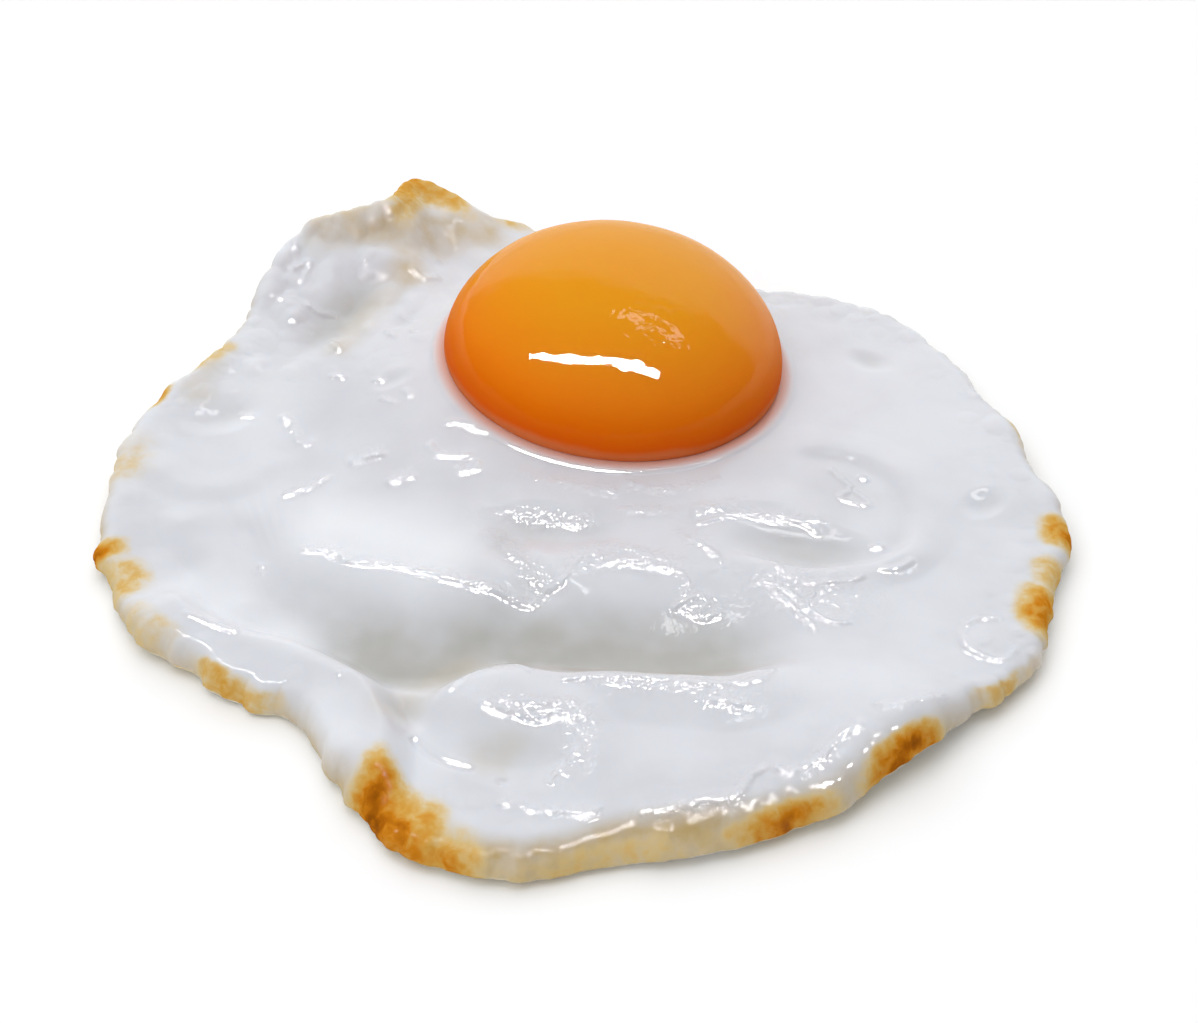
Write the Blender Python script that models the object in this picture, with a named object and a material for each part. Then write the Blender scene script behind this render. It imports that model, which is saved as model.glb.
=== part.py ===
"""A fried egg, sunny side up, as two solids: the cooked white, and the yolk that sits in it.

Both start as sphere primitives whose points are moved by formula. The upper half of the white's
sphere becomes its wavy top, and the lower half the underside that lay in the pan. The yolk is a
taller dome on a flatter bowl, tilted a little, and a copy of it cuts its seat out of the white.

Sizes in the tables are millimetres in plan, +X to the right, +Y to the back and +Z up. Bearings
are degrees counter-clockwise from +X. The origin is on the pan, under the middle of the outline.
"""

import math

import bmesh
import bpy
import numpy as np
from mathutils import Matrix

MM = 0.001
TINY = 1e-9

# The yolk: the size that all the others were set against.
YOLK_RADIUS = 21.0
YOLK_DOME = 13.9  # from its widest ring up to its crown
YOLK_BOWL = 6.1  # from that ring down to its underside
YOLK_AT = (3.7, 21.6)
YOLK_RING_HEIGHT = 8.1
YOLK_TILT_X = -1.0  # degrees, the crown leans to the back
YOLK_TILT_Y = 5.5  # degrees, the right side lies lower
SEAT_GAP = 0.3

# The sheet of white.
SHEET_RADIUS = 56.8
FILM = 2.3  # thickness of the thin white near the edge
THINNEST = 1.2  # thickness that no valley goes below
SOFTNESS = 0.9  # how gently a valley meets that
LIP = 2.2  # width of the rounded edge
LIP_RINGS = 4
MIDDLE_SHARE = 0.22  # where the edge's tip lies between underside and top
FLAT_SHARE = 0.58  # share of the radius inside which the underside lies flat
MENISCUS = 4.0  # distance over which the white climbs to the yolk
CONTACT = 0.9  # how far below the yolk's widest ring it meets it

# Mesh: segments round the white, rings from the centre to the edge above and below, and the yolk's.
WHITE_SEGMENTS = 100
TOP_RINGS = 34
UNDER_RINGS = 8
YOLK_SEGMENTS = 44
YOLK_RINGS = 22

# Lobes and bays of the outline: bearing, reach outwards, half width in degrees.
OUTLINE_LOBES = {
    "corner flap": (111, 9.6, 5.6),
    "flap shoulder": (128, 2.7, 9),
    "knuckle beside the flap": (100, 2.2, 3.5),
    "bay behind the yolk": (72, -8.0, 28),
    "long right shoulder": (22, -2.6, 20),
    "right back corner": (40, 1.1, 8),
    "right side bay": (5, -1.7, 7),
    "left back bay": (150, -3.0, 10),
    "left bulge": (178, 1.2, 14),
    "left tip": (-170, 1.2, 2.2),
    "below the left tip": (-167, 1.2, 6),
    "start of the front left bay": (-148, -1.9, 6),
    "front left bay": (-131, -7.6, 13),
    "front left lobe": (-101, 3.8, 14),
    "front right run": (-62, 0.7, 22),
    "front right bay": (-45, -1.1, 7),
    "right lobe": (-30, 0.7, 8),
    "right tip": (-8, 1.6, 4),
}

# How far the edge has curled up off the pan: bearing, height, half width in degrees.
EDGE_LIFTS = {
    "corner flap": (119, 8.5, 20),
    "left back": (150, 3.0, 16),
    "left side": (178, 1.6, 18),
    "right side": (5, 2.0, 34),
    "front right curl": (-50, 1.8, 12),
}

# Where the rounded edge is wider, and where the white behind it is thicker: as above.
LIP_WIDENINGS = {
    "front right wall": (-53, 1.8, 8),
    "front wall": (-82, 3.2, 20),
    "front left patch": (-110, 3.6, 9),
}
RIM_THICKENINGS = {
    "front": (-85, 1.9, 34),
    "front right wall": (-50, 1.8, 11),
}

RUFFLE_REST = 0.3  # how far the ruffles hold the edge off the pan
# Ruffles along the edge: waves in a full turn, reach in plan, height, start in degrees.
RUFFLES = (
    (9, 0.30, 0.20, 20),
    (14, 0.25, 0.15, 75),
    (23, 0.15, 0.08, 140),
)

# Oval swells and dimples: centre x and y, half length, half width, turn, height, flatness.
# Flatness is the power of the bell: 2 is round, and 4 has a level top and steep sides.
SWELLS = {
    "thick white": (2, -2, 53, 53, 0, 3.2, 3.0),
    "its rise round the yolk": (-6, 14, 34, 28, 0, 2.4, 2.8),
    "bank left of the yolk": (-22, 27, 23, 21, -20, 1.8, 2.0),
    "front plateau": (14, -43, 38, 18, 3, 1.5, 2.2),
    "front mound": (-8, -39, 10, 8, -20, 0.9, 2.6),
    "left bowl": (-28.5, -21.5, 10, 8, -32, -0.7, 2.4),
    "dimple before the yolk": (-3.5, -10.2, 10.5, 4.6, -6, -0.66, 2.4),
    "dimple to the right": (24.5, -10.4, 12, 5.6, -6, -0.95, 2.4),
    "hollow in the front mound": (-7, -44.8, 8, 6, -25, -0.6, 2.2),
    "junction pit": (-19.3, -37.6, 4.2, 3.2, -40, -0.8, 2.0),
    "flap hollow": (-31, 32, 12, 5, 58, -1.2, 2.0),
    "flap trough": (-27, 44.5, 9, 4, 10, -0.6, 2.0),
    "small left hollow": (-44, 14, 6, 3.4, 30, -0.6, 2.0),
    "left of the yolk, back": (-23, 30, 3, 2, 40, -0.45, 2.0),
    "left of the yolk, front": (-23.5, 17, 3, 2, 20, -0.45, 2.0),
    "right back dimple": (36, 26, 4, 2.5, -30, -0.6, 2.0),
    "ear hollow": (31, -1.6, 9, 8, 0, -0.4, 2.0),
    "right blister": (45.8, -26.4, 4.2, 3.6, 40, 0.45, 3.0),
    "right rim hollow": (47.5, -3.0, 3.4, 2.6, 30, -0.45, 2.4),
}

# Folds and valleys along a route, seen along it: height, reach and flatness of the left side and
# of the right side, lengths over which it rises and sinks again at its ends, and its points.
FOLDS = {
    "front lip of the left tongue": (
        1.3, (16, 2.2), (12, 1.5), (8, 7),
        ((-40, -14), (-33, -12), (-27, -13.6), (-21.7, -15.2), (-15.3, -17.4), (-9, -19.4), (-4.4, -21.6)),
    ),
    "long valley": (
        -1.6, (13, 2.0), (4.6, 1.9), (12, 14),
        ((-33, -24), (-27, -28.4), (-21, -31), (-15, -30.8), (-8, -29.2), (0, -30), (12, -30.8), (28, -28.5)),
    ),
    "groove beside the tongue": (
        -0.5, (3.2, 2.0), (3.0, 2.0), (4, 5),
        ((-12.8, -11), (-9.2, -13.4), (-7.4, -15.6), (-5, -18.6), (-3.2, -22.4)),
    ),
    "front lip of the saddle": (
        0.5, (7, 2.0), (4.4, 1.7), (3, 9),
        ((-3.6, -20.4), (-1.9, -16.8), (-0.3, -13.8), (3.3, -13), (7.5, -13.6), (11.2, -15.8), (17, -22.4)),
    ),
    "lip of the front mound and plateau": (
        1.2, (2.4, 1.6), (8, 2.0), (5, 8),
        ((-17.6, -40.5), (-15.4, -36.6), (-12.6, -33.4), (-8.6, -31.2), (-5.2, -33.4), (-1.5, -34.2),
         (4, -33.6), (9, -34.2), (15.5, -35.2), (20.5, -33.4), (25, -31)),
    ),
    "front left ridge": (
        2.5, (4.0, 1.7), (10, 2.0), (7, 6),
        ((-50, -16), (-44.5, -23), (-38.5, -27), (-32.5, -29), (-27.3, -32), (-23.6, -36.4), (-21.9, -41.5),
         (-21.3, -47), (-21, -53)),
    ),
    "ear ridge": (
        0.38, (3.8, 2.0), (3.2, 2.0), (5, 5),
        ((22, 6), (28, 8), (34, 7), (39.3, 2.4), (41, -4), (39.6, -10.6), (35, -15.4)),
    ),
    "flap crest": (
        1.5, (3.2, 2.0), (6.0, 2.0), (8, 8),
        ((-46, 33), (-41, 42), (-34, 48.5), (-25, 50.5), (-15, 50.5)),
    ),
    "left terrace": (
        0.35, (3.8, 2.0), (3.4, 1.8), (4, 4),
        ((-52, 7), (-50, 2.5), (-45.8, 0.6), (-40.2, 2.4), (-37, 8)),
    ),
    "fold from the left tip to the bowl": (
        0.7, (6, 2.0), (3.4, 1.8), (4, 5),
        ((-49, -3), (-46, -8), (-42.5, -12.5), (-40, -18), (-38.5, -25)),
    ),
}

WHITE_COLOUR = (0.82, 0.83, 0.85, 1.0)
WHITE_ROUGHNESS = 0.3
YOLK_COLOUR = (0.85, 0.30, 0.02, 1.0)
YOLK_ROUGHNESS = 0.15


def lobes(bearing, table):
    """Sum of the table's bell-shaped lobes at each bearing, both in degrees."""
    total = np.zeros_like(bearing)
    for middle, height, half_width in table.values():
        turn = (bearing - middle + 180) % 360 - 180
        total += height * np.exp(-((turn / half_width) ** 2))
    return total


def ruffle(bearing, column):
    """Sum of the edge's waves: column 1 is their reach in plan, column 2 their height."""
    total = np.zeros_like(bearing)
    for wave in RUFFLES:
        total += wave[column] * np.sin(np.radians(wave[0] * bearing + wave[3]))
    return total


def outline_radius(bearing):
    """Distance from the centre to the edge at each bearing."""
    return SHEET_RADIUS + lobes(bearing, OUTLINE_LOBES) + ruffle(bearing, 1)


def outline_middle():
    """Centre of the outline's bounding box, so that the origin can be put there."""
    bearing = np.linspace(0, 360, WHITE_SEGMENTS, endpoint=False)
    radius = outline_radius(bearing)
    x = radius * np.cos(np.radians(bearing))
    y = radius * np.sin(np.radians(bearing))
    return (x.max() + x.min()) / 2, (y.max() + y.min()) / 2


def smooth_step(share):
    """0 below 0 and 1 above 1, with no corner between."""
    share = np.clip(share, 0, 1)
    return share * share * (3 - 2 * share)


def bell(distance, flatness):
    """1 at distance 0, falling to 0 at distance 1."""
    return np.clip(1 - distance**flatness, 0, None) ** 2


def swell(x, y, centre_x, centre_y, half_length, half_width, turn, height, flatness):
    """Height of one oval swell, or dimple, at each point."""
    cosine, sine = math.cos(math.radians(turn)), math.sin(math.radians(turn))
    along = ((x - centre_x) * cosine + (y - centre_y) * sine) / half_length
    across = ((y - centre_y) * cosine - (x - centre_x) * sine) / half_width
    return height * bell(np.hypot(along, across), flatness)


def smooth_route(points, steps=6):
    """Catmull-Rom curve through the points, with its ends carried straight on."""
    p = np.array(points, float)
    p = np.vstack([2 * p[0] - p[1], p, 2 * p[-1] - p[-2]])
    t = np.linspace(0, 1, steps, endpoint=False)[:, None]
    run = [
        0.5 * (2 * b + (c - a) * t + (2 * a - 5 * b + 4 * c - d) * t**2 + (3 * b - a - 3 * c + d) * t**3)
        for a, b, c, d in zip(p, p[1:], p[2:], p[3:])
    ]
    return np.vstack([*run, p[-2:-1]])


def fold(x, y, height, left, right, fade, points):
    """Height of one fold, or valley, at each point, its two sides blended round its ends."""
    route = smooth_route(points)
    steps = np.diff(route, axis=0)
    sizes = np.hypot(steps[:, 0], steps[:, 1])
    starts = np.concatenate([[0], np.cumsum(sizes)])
    gap, side, along = np.full(x.shape, np.inf), np.zeros_like(x), np.zeros_like(x)
    for (ax, ay), (dx, dy), size, before in zip(route, steps, sizes, starts):
        share = np.clip(((x - ax) * dx + (y - ay) * dy) / size**2, 0, 1)
        off_x, off_y = x - ax - share * dx, y - ay - share * dy
        distance = np.hypot(off_x, off_y)
        closer = distance < gap
        gap = np.where(closer, distance, gap)
        sine = (dx * off_y - dy * off_x) / (size * np.maximum(distance, TINY))
        side = np.where(closer, sine, side)
        along = np.where(closer, before + share * size, along)
    leftness = 0.5 + 0.5 * side
    reach = right[0] + (left[0] - right[0]) * leftness
    flatness = right[1] + (left[1] - right[1]) * leftness
    ends = smooth_step(along / fade[0]) * smooth_step((starts[-1] - along) / fade[1])
    return height * ends * bell(gap / reach, flatness)


def yolk_tilt():
    """The yolk's rotation."""
    about_x = Matrix.Rotation(math.radians(YOLK_TILT_X), 4, "X")
    return about_x @ Matrix.Rotation(math.radians(YOLK_TILT_Y), 4, "Y")


def ring_height(x, y):
    """Height at which the yolk's widest ring lies over each point of the tilted plane."""
    rise_x = -math.tan(math.radians(YOLK_TILT_Y))
    rise_y = math.tan(math.radians(YOLK_TILT_X))
    return YOLK_RING_HEIGHT + rise_x * (x - YOLK_AT[0]) + rise_y * (y - YOLK_AT[1])


def towards_edge(share):
    """0 over the flat middle of the sheet, and 1 at its edge."""
    return smooth_step((share - FLAT_SHARE) / (1 - FLAT_SHARE))


def underside(share, bearing):
    """Height of the underside over the pan: flat in the middle, and curled up towards the edge."""
    curl = lobes(bearing, EDGE_LIFTS) + np.clip(ruffle(bearing, 2) + RUFFLE_REST, 0, None)
    return curl * towards_edge(share)


def thickness(x, y, share, bearing):
    """Thickness of the white: the film with every swell and fold, and never thinner than THINNEST."""
    total = FILM + lobes(bearing, RIM_THICKENINGS) * towards_edge(share)
    for row in SWELLS.values():
        total = total + swell(x, y, *row)
    for row in FOLDS.values():
        total = total + fold(x, y, *row)
    spare = total - THINNEST
    return THINNEST + 0.5 * (spare + np.sqrt(spare**2 + SOFTNESS**2))


def climb(x, y, height):
    """Height of the top once the white climbs to just below the yolk's widest ring."""
    clear = np.hypot(x - YOLK_AT[0], y - YOLK_AT[1]) - YOLK_RADIUS
    contact = ring_height(x, y) - CONTACT
    return height + (contact - height) * np.exp(-np.clip(clear, 0, None) / MENISCUS)


def link(obj, collection_name):
    """Puts the object in the named collection, made on first use."""
    collection = bpy.data.collections.get(collection_name)
    if collection is None:
        collection = bpy.data.collections.new(collection_name)
        bpy.context.scene.collection.children.link(collection)
    collection.objects.link(obj)
    return obj


def material(name, colour, roughness):
    """A plain Principled material."""
    made = bpy.data.materials.new(name)
    made.use_nodes = True
    shader = made.node_tree.nodes["Principled BSDF"]
    shader.inputs["Base Color"].default_value = colour
    shader.inputs["Roughness"].default_value = roughness
    shader.inputs["Metallic"].default_value = 0.0
    return made


def sphere(name, segments, rings):
    """A unit sphere primitive as a bmesh, and its points as an array."""
    bm = bmesh.new()
    bmesh.ops.create_uvsphere(bm, u_segments=segments, v_segments=rings, radius=1)
    bm.verts.ensure_lookup_table()
    return bm, np.array([v.co for v in bm.verts])


def finish(name, bm, points, collection_name, look=None):
    """Moves the sphere's points to where they belong, in metres, and makes the object."""
    for vertex, place in zip(bm.verts, points * MM):
        vertex.co = place
    bmesh.ops.recalc_face_normals(bm, faces=bm.faces)
    mesh = bpy.data.meshes.new(name)
    bm.to_mesh(mesh)
    bm.free()
    mesh.shade_smooth()
    if look:
        mesh.materials.append(look)
    return link(bpy.data.objects.new(name, mesh), collection_name)


def make_white():
    """The sheet of white, still without the yolk's seat."""
    rings = TOP_RINGS + UNDER_RINGS
    bm, unit = sphere("white", WHITE_SEGMENTS, rings)
    row = np.rint(np.arccos(np.clip(unit[:, 2], -1, 1)) * rings / math.pi)
    bearing = np.degrees(np.arctan2(unit[:, 1], unit[:, 0]))
    above = row <= TOP_RINGS
    side_rings = np.where(above, TOP_RINGS, UNDER_RINGS)
    step = np.where(above, row, rings - row)
    lip_rings = np.where(above, LIP_RINGS, LIP_RINGS // 2)
    radius = outline_radius(bearing)
    lip_share = 1 - (LIP + lobes(bearing, LIP_WIDENINGS)) / radius
    turn = np.clip((step - side_rings + lip_rings) / lip_rings, 0, 1) * math.pi / 2
    flat = np.clip(step / (side_rings - lip_rings), 0, 1)
    share = flat * lip_share + (1 - lip_share) * np.sin(turn)
    middle_x, middle_y = outline_middle()
    x = share * radius * np.cos(np.radians(bearing)) - middle_x
    y = share * radius * np.sin(np.radians(bearing)) - middle_y
    low = underside(share, bearing)
    high = climb(x, y, low + thickness(x, y, share, bearing))
    middle = low + MIDDLE_SHARE * (high - low)
    z = middle + np.where(above, high - middle, low - middle) * np.cos(turn)
    look = material("cooked white", WHITE_COLOUR, WHITE_ROUGHNESS)
    return finish("white", bm, np.stack([x, y, z], 1), "fried_egg", look)


def make_yolk(name, grow, collection_name, look=None):
    """The yolk, or with grow above 0 the cutter for its seat."""
    bm, unit = sphere(name, YOLK_SEGMENTS, YOLK_RINGS)
    depth = np.where(unit[:, 2] > 0, YOLK_DOME, YOLK_BOWL) + grow
    size = np.stack([np.full_like(depth, YOLK_RADIUS + grow)] * 2 + [depth], 1)
    turned = (unit * size) @ np.array(yolk_tilt().to_3x3()).T
    return finish(name, bm, turned + [*YOLK_AT, YOLK_RING_HEIGHT], collection_name, look)


def cut_seat(white, cutter):
    """Takes the yolk's seat out of the white."""
    cutter.hide_render = True
    cutter.display_type = "WIRE"
    cut = white.modifiers.new("yolk seat", "BOOLEAN")
    cut.operation = "DIFFERENCE"
    cut.object = cutter


def main():
    """Clears the scene and builds the egg."""
    for obj in list(bpy.data.objects):
        bpy.data.objects.remove(obj)
    white = make_white()
    make_yolk("yolk", 0.0, "fried_egg", material("yolk", YOLK_COLOUR, YOLK_ROUGHNESS))
    cut_seat(white, make_yolk("yolk_seat_cutter", SEAT_GAP, "cutters"))


main()
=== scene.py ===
"""The looks of a fried egg, sunny side up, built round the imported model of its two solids.

The cooked white is one closed mesh: a fine disc of quads for its folded, blistered top and a
coarser one for the underside that lay in the pan. The yolk is a second mesh that sits in it.
Both follow the same named forms as the solids, with the fine relief and the colours added.

Plan sizes in the tables are millimetres, +X to the right, +Y to the back, +Z up, and bearings
are degrees counter-clockwise from +X, so that they read like the egg seen from above.
"""

from __future__ import annotations

import logging
import math
from dataclasses import dataclass, field
from enum import Enum

import bmesh
import bpy
import numpy as np
from mathutils import Matrix, Vector


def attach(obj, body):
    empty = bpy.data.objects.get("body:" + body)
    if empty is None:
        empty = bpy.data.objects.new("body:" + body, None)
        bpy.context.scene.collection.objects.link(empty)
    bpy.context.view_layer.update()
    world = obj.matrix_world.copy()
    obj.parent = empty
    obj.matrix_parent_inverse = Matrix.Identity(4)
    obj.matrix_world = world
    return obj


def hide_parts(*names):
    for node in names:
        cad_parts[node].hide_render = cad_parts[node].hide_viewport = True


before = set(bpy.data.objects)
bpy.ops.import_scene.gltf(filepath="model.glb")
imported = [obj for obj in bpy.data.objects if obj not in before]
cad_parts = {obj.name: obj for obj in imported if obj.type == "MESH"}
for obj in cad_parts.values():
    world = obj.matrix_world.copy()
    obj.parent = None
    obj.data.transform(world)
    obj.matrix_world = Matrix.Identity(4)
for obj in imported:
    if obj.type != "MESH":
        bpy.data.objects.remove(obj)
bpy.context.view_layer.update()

MM = 0.001

Array = np.ndarray
Colour = tuple[float, float, float, float]

log = logging.getLogger("fried_egg")


def smooth_step(share: Array) -> Array:
    """Eases from 0 at 0 to 1 at 1 with no corner, and holds both ends beyond them."""
    share = np.clip(share, 0.0, 1.0)
    return share * share * (3.0 - 2.0 * share)


def bell(distance: Array, flatness: float) -> Array:
    """Falls from 1 at distance 0 to 0 at distance 1: 2 is round, and more has a level top and steep sides."""
    return np.clip(1.0 - distance**flatness, 0.0, None) ** 2


def paint(code: int) -> Colour:
    """Turns a screen colour such as 0xE2A040 into the linear colour that shaders take.

    Args:
        code: Red, green and blue, two hexadecimal digits each.

    Returns:
        The linear red, green, blue and an alpha of 1.
    """
    channels = [((code >> shift) & 255) / 255.0 for shift in (16, 8, 0)]
    linear = [c / 12.92 if c <= 0.04045 else ((c + 0.055) / 1.055) ** 2.4 for c in channels]
    return (*linear, 1.0)


class Grain:
    """Repeatable uneven fields over the plan, all drawn from one hashed lattice."""

    @staticmethod
    def lattice(column: Array, row: Array, salt: int) -> Array:
        """Gives each lattice point a fixed number from 0 to 1.

        Args:
            column: Whole-numbered columns.
            row: Whole-numbered rows.
            salt: Picks one of many unlike lattices.

        Returns:
            The numbers, one for each point.
        """
        mixed = column.astype(np.int64) * 374761393 + row.astype(np.int64) * 668265263 + salt * 974634777
        mixed = (mixed ^ (mixed >> 13)) * 1274126177 & 0xFFFFFFFF
        mixed = (mixed ^ (mixed >> 16)) * 2246822519 & 0xFFFFFFFF
        return (mixed ^ (mixed >> 15)) / 4294967296.0

    @classmethod
    def waves(cls, x: Array, y: Array, size: float, salt: int) -> Array:
        """Smooth uneven swell from -1 to 1, its bumps about one size across.

        Args:
            x: Places along X.
            y: Places along Y.
            size: The lattice's spacing.
            salt: Picks one of many unlike fields.

        Returns:
            The field at each place.
        """
        column, row = np.floor(x / size), np.floor(y / size)
        across, along = x / size - column, y / size - row
        across = across**3 * (across * (across * 6 - 15) + 10)
        along = along**3 * (along * (along * 6 - 15) + 10)
        beside, behind = column + 1, row + 1
        near = cls.lattice(column, row, salt) * (1 - across) + cls.lattice(beside, row, salt) * across
        far = cls.lattice(column, behind, salt) * (1 - across) + cls.lattice(beside, behind, salt) * across
        return 2.0 * (near * (1 - along) + far * along) - 1.0

    @classmethod
    def layered(cls, x: Array, y: Array, size: float, salt: int, layers: int = 3) -> Array:
        """Sum of waves, each layer half the size and half the height of the one before.

        Args:
            x: Places along X.
            y: Places along Y.
            size: The largest layer's spacing.
            salt: Picks one of many unlike fields.
            layers: How many layers.

        Returns:
            The field at each place, from about -1 to 1.
        """
        total = np.zeros_like(x)
        for layer in range(layers):
            share = 0.5**layer
            total += share * cls.waves(x + 17.3 * layer, y - 9.1 * layer, size * share, salt + layer)
        return total / (2.0 - 0.5 ** (layers - 1))

    @classmethod
    def creases(cls, x: Array, y: Array, size: float, salt: int) -> Array:
        """Thin raised wrinkles: 1 along their crests and 0 in the flats between.

        Args:
            x: Places along X.
            y: Places along Y.
            size: Typical distance between wrinkles.
            salt: Picks one of many unlike fields.

        Returns:
            The field at each place.
        """
        bend_x = x + 0.6 * size * cls.waves(x, y, 1.7 * size, salt + 11)
        bend_y = y + 0.6 * size * cls.waves(x, y, 1.7 * size, salt + 12)
        return (1.0 - np.abs(cls.layered(bend_x, bend_y, size, salt, 2))) ** 4

    @classmethod
    def blisters(cls, x: Array, y: Array, size: float, salt: int, share: float = 0.6) -> Array:
        """Round domes scattered at random, each with its own width.

        Args:
            x: Places along X.
            y: Places along Y.
            size: The lattice's spacing, which the widest dome nearly fills.
            salt: Picks one of many unlike fields.
            share: How many of the lattice's cells hold a dome.

        Returns:
            Dome height as a share of size, 0 between the domes.
        """
        column, row = np.floor(x / size), np.floor(y / size)
        height = np.zeros_like(x)
        for step_x in (-1, 0, 1):
            for step_y in (-1, 0, 1):
                cell_x, cell_y = column + step_x, row + step_y
                middle_x = (cell_x + 0.2 + 0.6 * cls.lattice(cell_x, cell_y, salt)) * size
                middle_y = (cell_y + 0.2 + 0.6 * cls.lattice(cell_x, cell_y, salt + 1)) * size
                radius = size * (0.22 + 0.38 * cls.lattice(cell_x, cell_y, salt + 2))
                filled = cls.lattice(cell_x, cell_y, salt + 3) < share
                inside = np.clip(1.0 - ((x - middle_x) ** 2 + (y - middle_y) ** 2) / radius**2, 0.0, 1.0)
                height = np.maximum(height, np.where(filled, radius / size * inside**0.75, 0.0))
        return height


class Side(Enum):
    """The two faces of the white."""

    TOP = "top"
    UNDER = "underside"


@dataclass(frozen=True)
class Lobe:
    """A bell-shaped rise, or dip, in something that changes with the bearing.

    Attributes:
        bearing: Its middle, in degrees.
        height: What it adds there, in millimetres.
        half_width: Degrees over which it falls to about a third.
    """

    bearing: float
    height: float
    half_width: float

    def at(self, bearing: Array) -> Array:
        """Returns what the lobe adds at each bearing."""
        turn = (bearing - self.bearing + 180.0) % 360.0 - 180.0
        return self.height * np.exp(-((turn / self.half_width) ** 2))


def lobes(bearing: Array, row: tuple[Lobe, ...]) -> Array:
    """Returns the sum of a row of lobes at each bearing."""
    return sum((lobe.at(bearing) for lobe in row), np.zeros_like(bearing))


@dataclass(frozen=True)
class Ruffle:
    """One wave that runs all the way round the edge.

    Attributes:
        waves: Whole waves in a full turn.
        reach: Its height outwards, in millimetres.
        lift: Its height upwards, in millimetres.
        start: Where it starts, in degrees.
    """

    waves: int
    reach: float
    lift: float
    start: float

    def at(self, bearing: Array) -> Array:
        """Returns the wave at each bearing, from -1 to 1."""
        return np.sin(np.radians(self.waves * bearing + self.start))


@dataclass(frozen=True)
class Swell:
    """An oval mound, or dimple, in the top of the white.

    Attributes:
        x: Its middle along X.
        y: Its middle along Y.
        half_length: From the middle to its end.
        half_width: From the middle to its side.
        turn: Degrees its length is turned from +X.
        height: Its height, below 0 for a dimple.
        flatness: Power of the bell: 2 is round, and 4 has a level middle and steep sides.
    """

    x: float
    y: float
    half_length: float
    half_width: float
    turn: float
    height: float
    flatness: float

    def at(self, x: Array, y: Array) -> Array:
        """Returns the swell's height at each place.

        Args:
            x: Places along X.
            y: Places along Y.

        Returns:
            The height at each place.
        """
        cosine, sine = math.cos(math.radians(self.turn)), math.sin(math.radians(self.turn))
        along = ((x - self.x) * cosine + (y - self.y) * sine) / self.half_length
        across = ((y - self.y) * cosine - (x - self.x) * sine) / self.half_width
        return self.height * bell(np.hypot(along, across), self.flatness)


@dataclass(frozen=True)
class Flank:
    """One side of a fold.

    Attributes:
        reach: How far it reaches from the crest.
        flatness: Power of its bell: 1 makes a sharp crest, 2 a round one, and more a level one.
    """

    reach: float
    flatness: float = 2.0


@dataclass(frozen=True)
class Fold:
    """A fold, or valley, that follows a route over the white and dies away at both ends.

    Attributes:
        height: Its height, below 0 for a valley.
        left: Its side to the left of the route's direction.
        right: Its side to the right.
        fade: Lengths over which it rises from the start and sinks to the end.
        route: The points that it passes through.
    """

    height: float
    left: Flank
    right: Flank
    fade: tuple[float, float]
    route: tuple[tuple[float, float], ...]

    def curve(self, steps: int = 8) -> Array:
        """Returns points along a Catmull-Rom curve through the route.

        Args:
            steps: Points between one point of the route and the next.

        Returns:
            The points, one row each.
        """
        p = np.array(self.route, float)
        p = np.vstack([2 * p[0] - p[1], p, 2 * p[-1] - p[-2]])
        t = np.linspace(0, 1, steps, endpoint=False)[:, None]
        run = [
            0.5 * (2 * b + (c - a) * t + (2 * a - 5 * b + 4 * c - d) * t**2 + (3 * b - a - 3 * c + d) * t**3)
            for a, b, c, d in zip(p, p[1:], p[2:], p[3:])
        ]
        return np.vstack([*run, p[-2:-1]])

    def at(self, x: Array, y: Array) -> Array:
        """Returns the fold's height at each place.

        Args:
            x: Places along X.
            y: Places along Y.

        Returns:
            The height at each place.
        """
        curve = self.curve()
        reach = max(self.left.reach, self.right.reach)
        low, high = curve.min(axis=0) - reach, curve.max(axis=0) + reach
        near = (x > low[0]) & (x < high[0]) & (y > low[1]) & (y < high[1])
        height = np.zeros_like(x)
        height[near] = self.rise(x[near], y[near], curve)
        return height

    def rise(self, x: Array, y: Array, curve: Array) -> Array:
        """Works out the height near the route.

        Args:
            x: Places along X.
            y: Places along Y.
            curve: Points along the route.

        Returns:
            The height at each place.
        """
        steps = np.diff(curve, axis=0)
        sizes = np.hypot(steps[:, 0], steps[:, 1])
        starts = np.concatenate([[0.0], np.cumsum(sizes)])
        gap, side, along = np.full(x.shape, np.inf), np.zeros_like(x), np.zeros_like(x)
        for (ax, ay), (dx, dy), size, before in zip(curve, steps, sizes, starts):
            share = np.clip(((x - ax) * dx + (y - ay) * dy) / size**2, 0.0, 1.0)
            off_x, off_y = x - ax - share * dx, y - ay - share * dy
            distance = np.hypot(off_x, off_y)
            closer = distance < gap
            gap = np.where(closer, distance, gap)
            sine = (dx * off_y - dy * off_x) / (size * np.maximum(distance, 1e-9))
            side = np.where(closer, sine, side)
            along = np.where(closer, before + share * size, along)
        leftness = 0.5 + 0.5 * side
        reach = self.right.reach + (self.left.reach - self.right.reach) * leftness
        flatness = self.right.flatness + (self.left.flatness - self.right.flatness) * leftness
        ends = smooth_step(along / self.fade[0]) * smooth_step((starts[-1] - along) / self.fade[1])
        return self.height * ends * bell(gap / reach, flatness)


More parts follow.
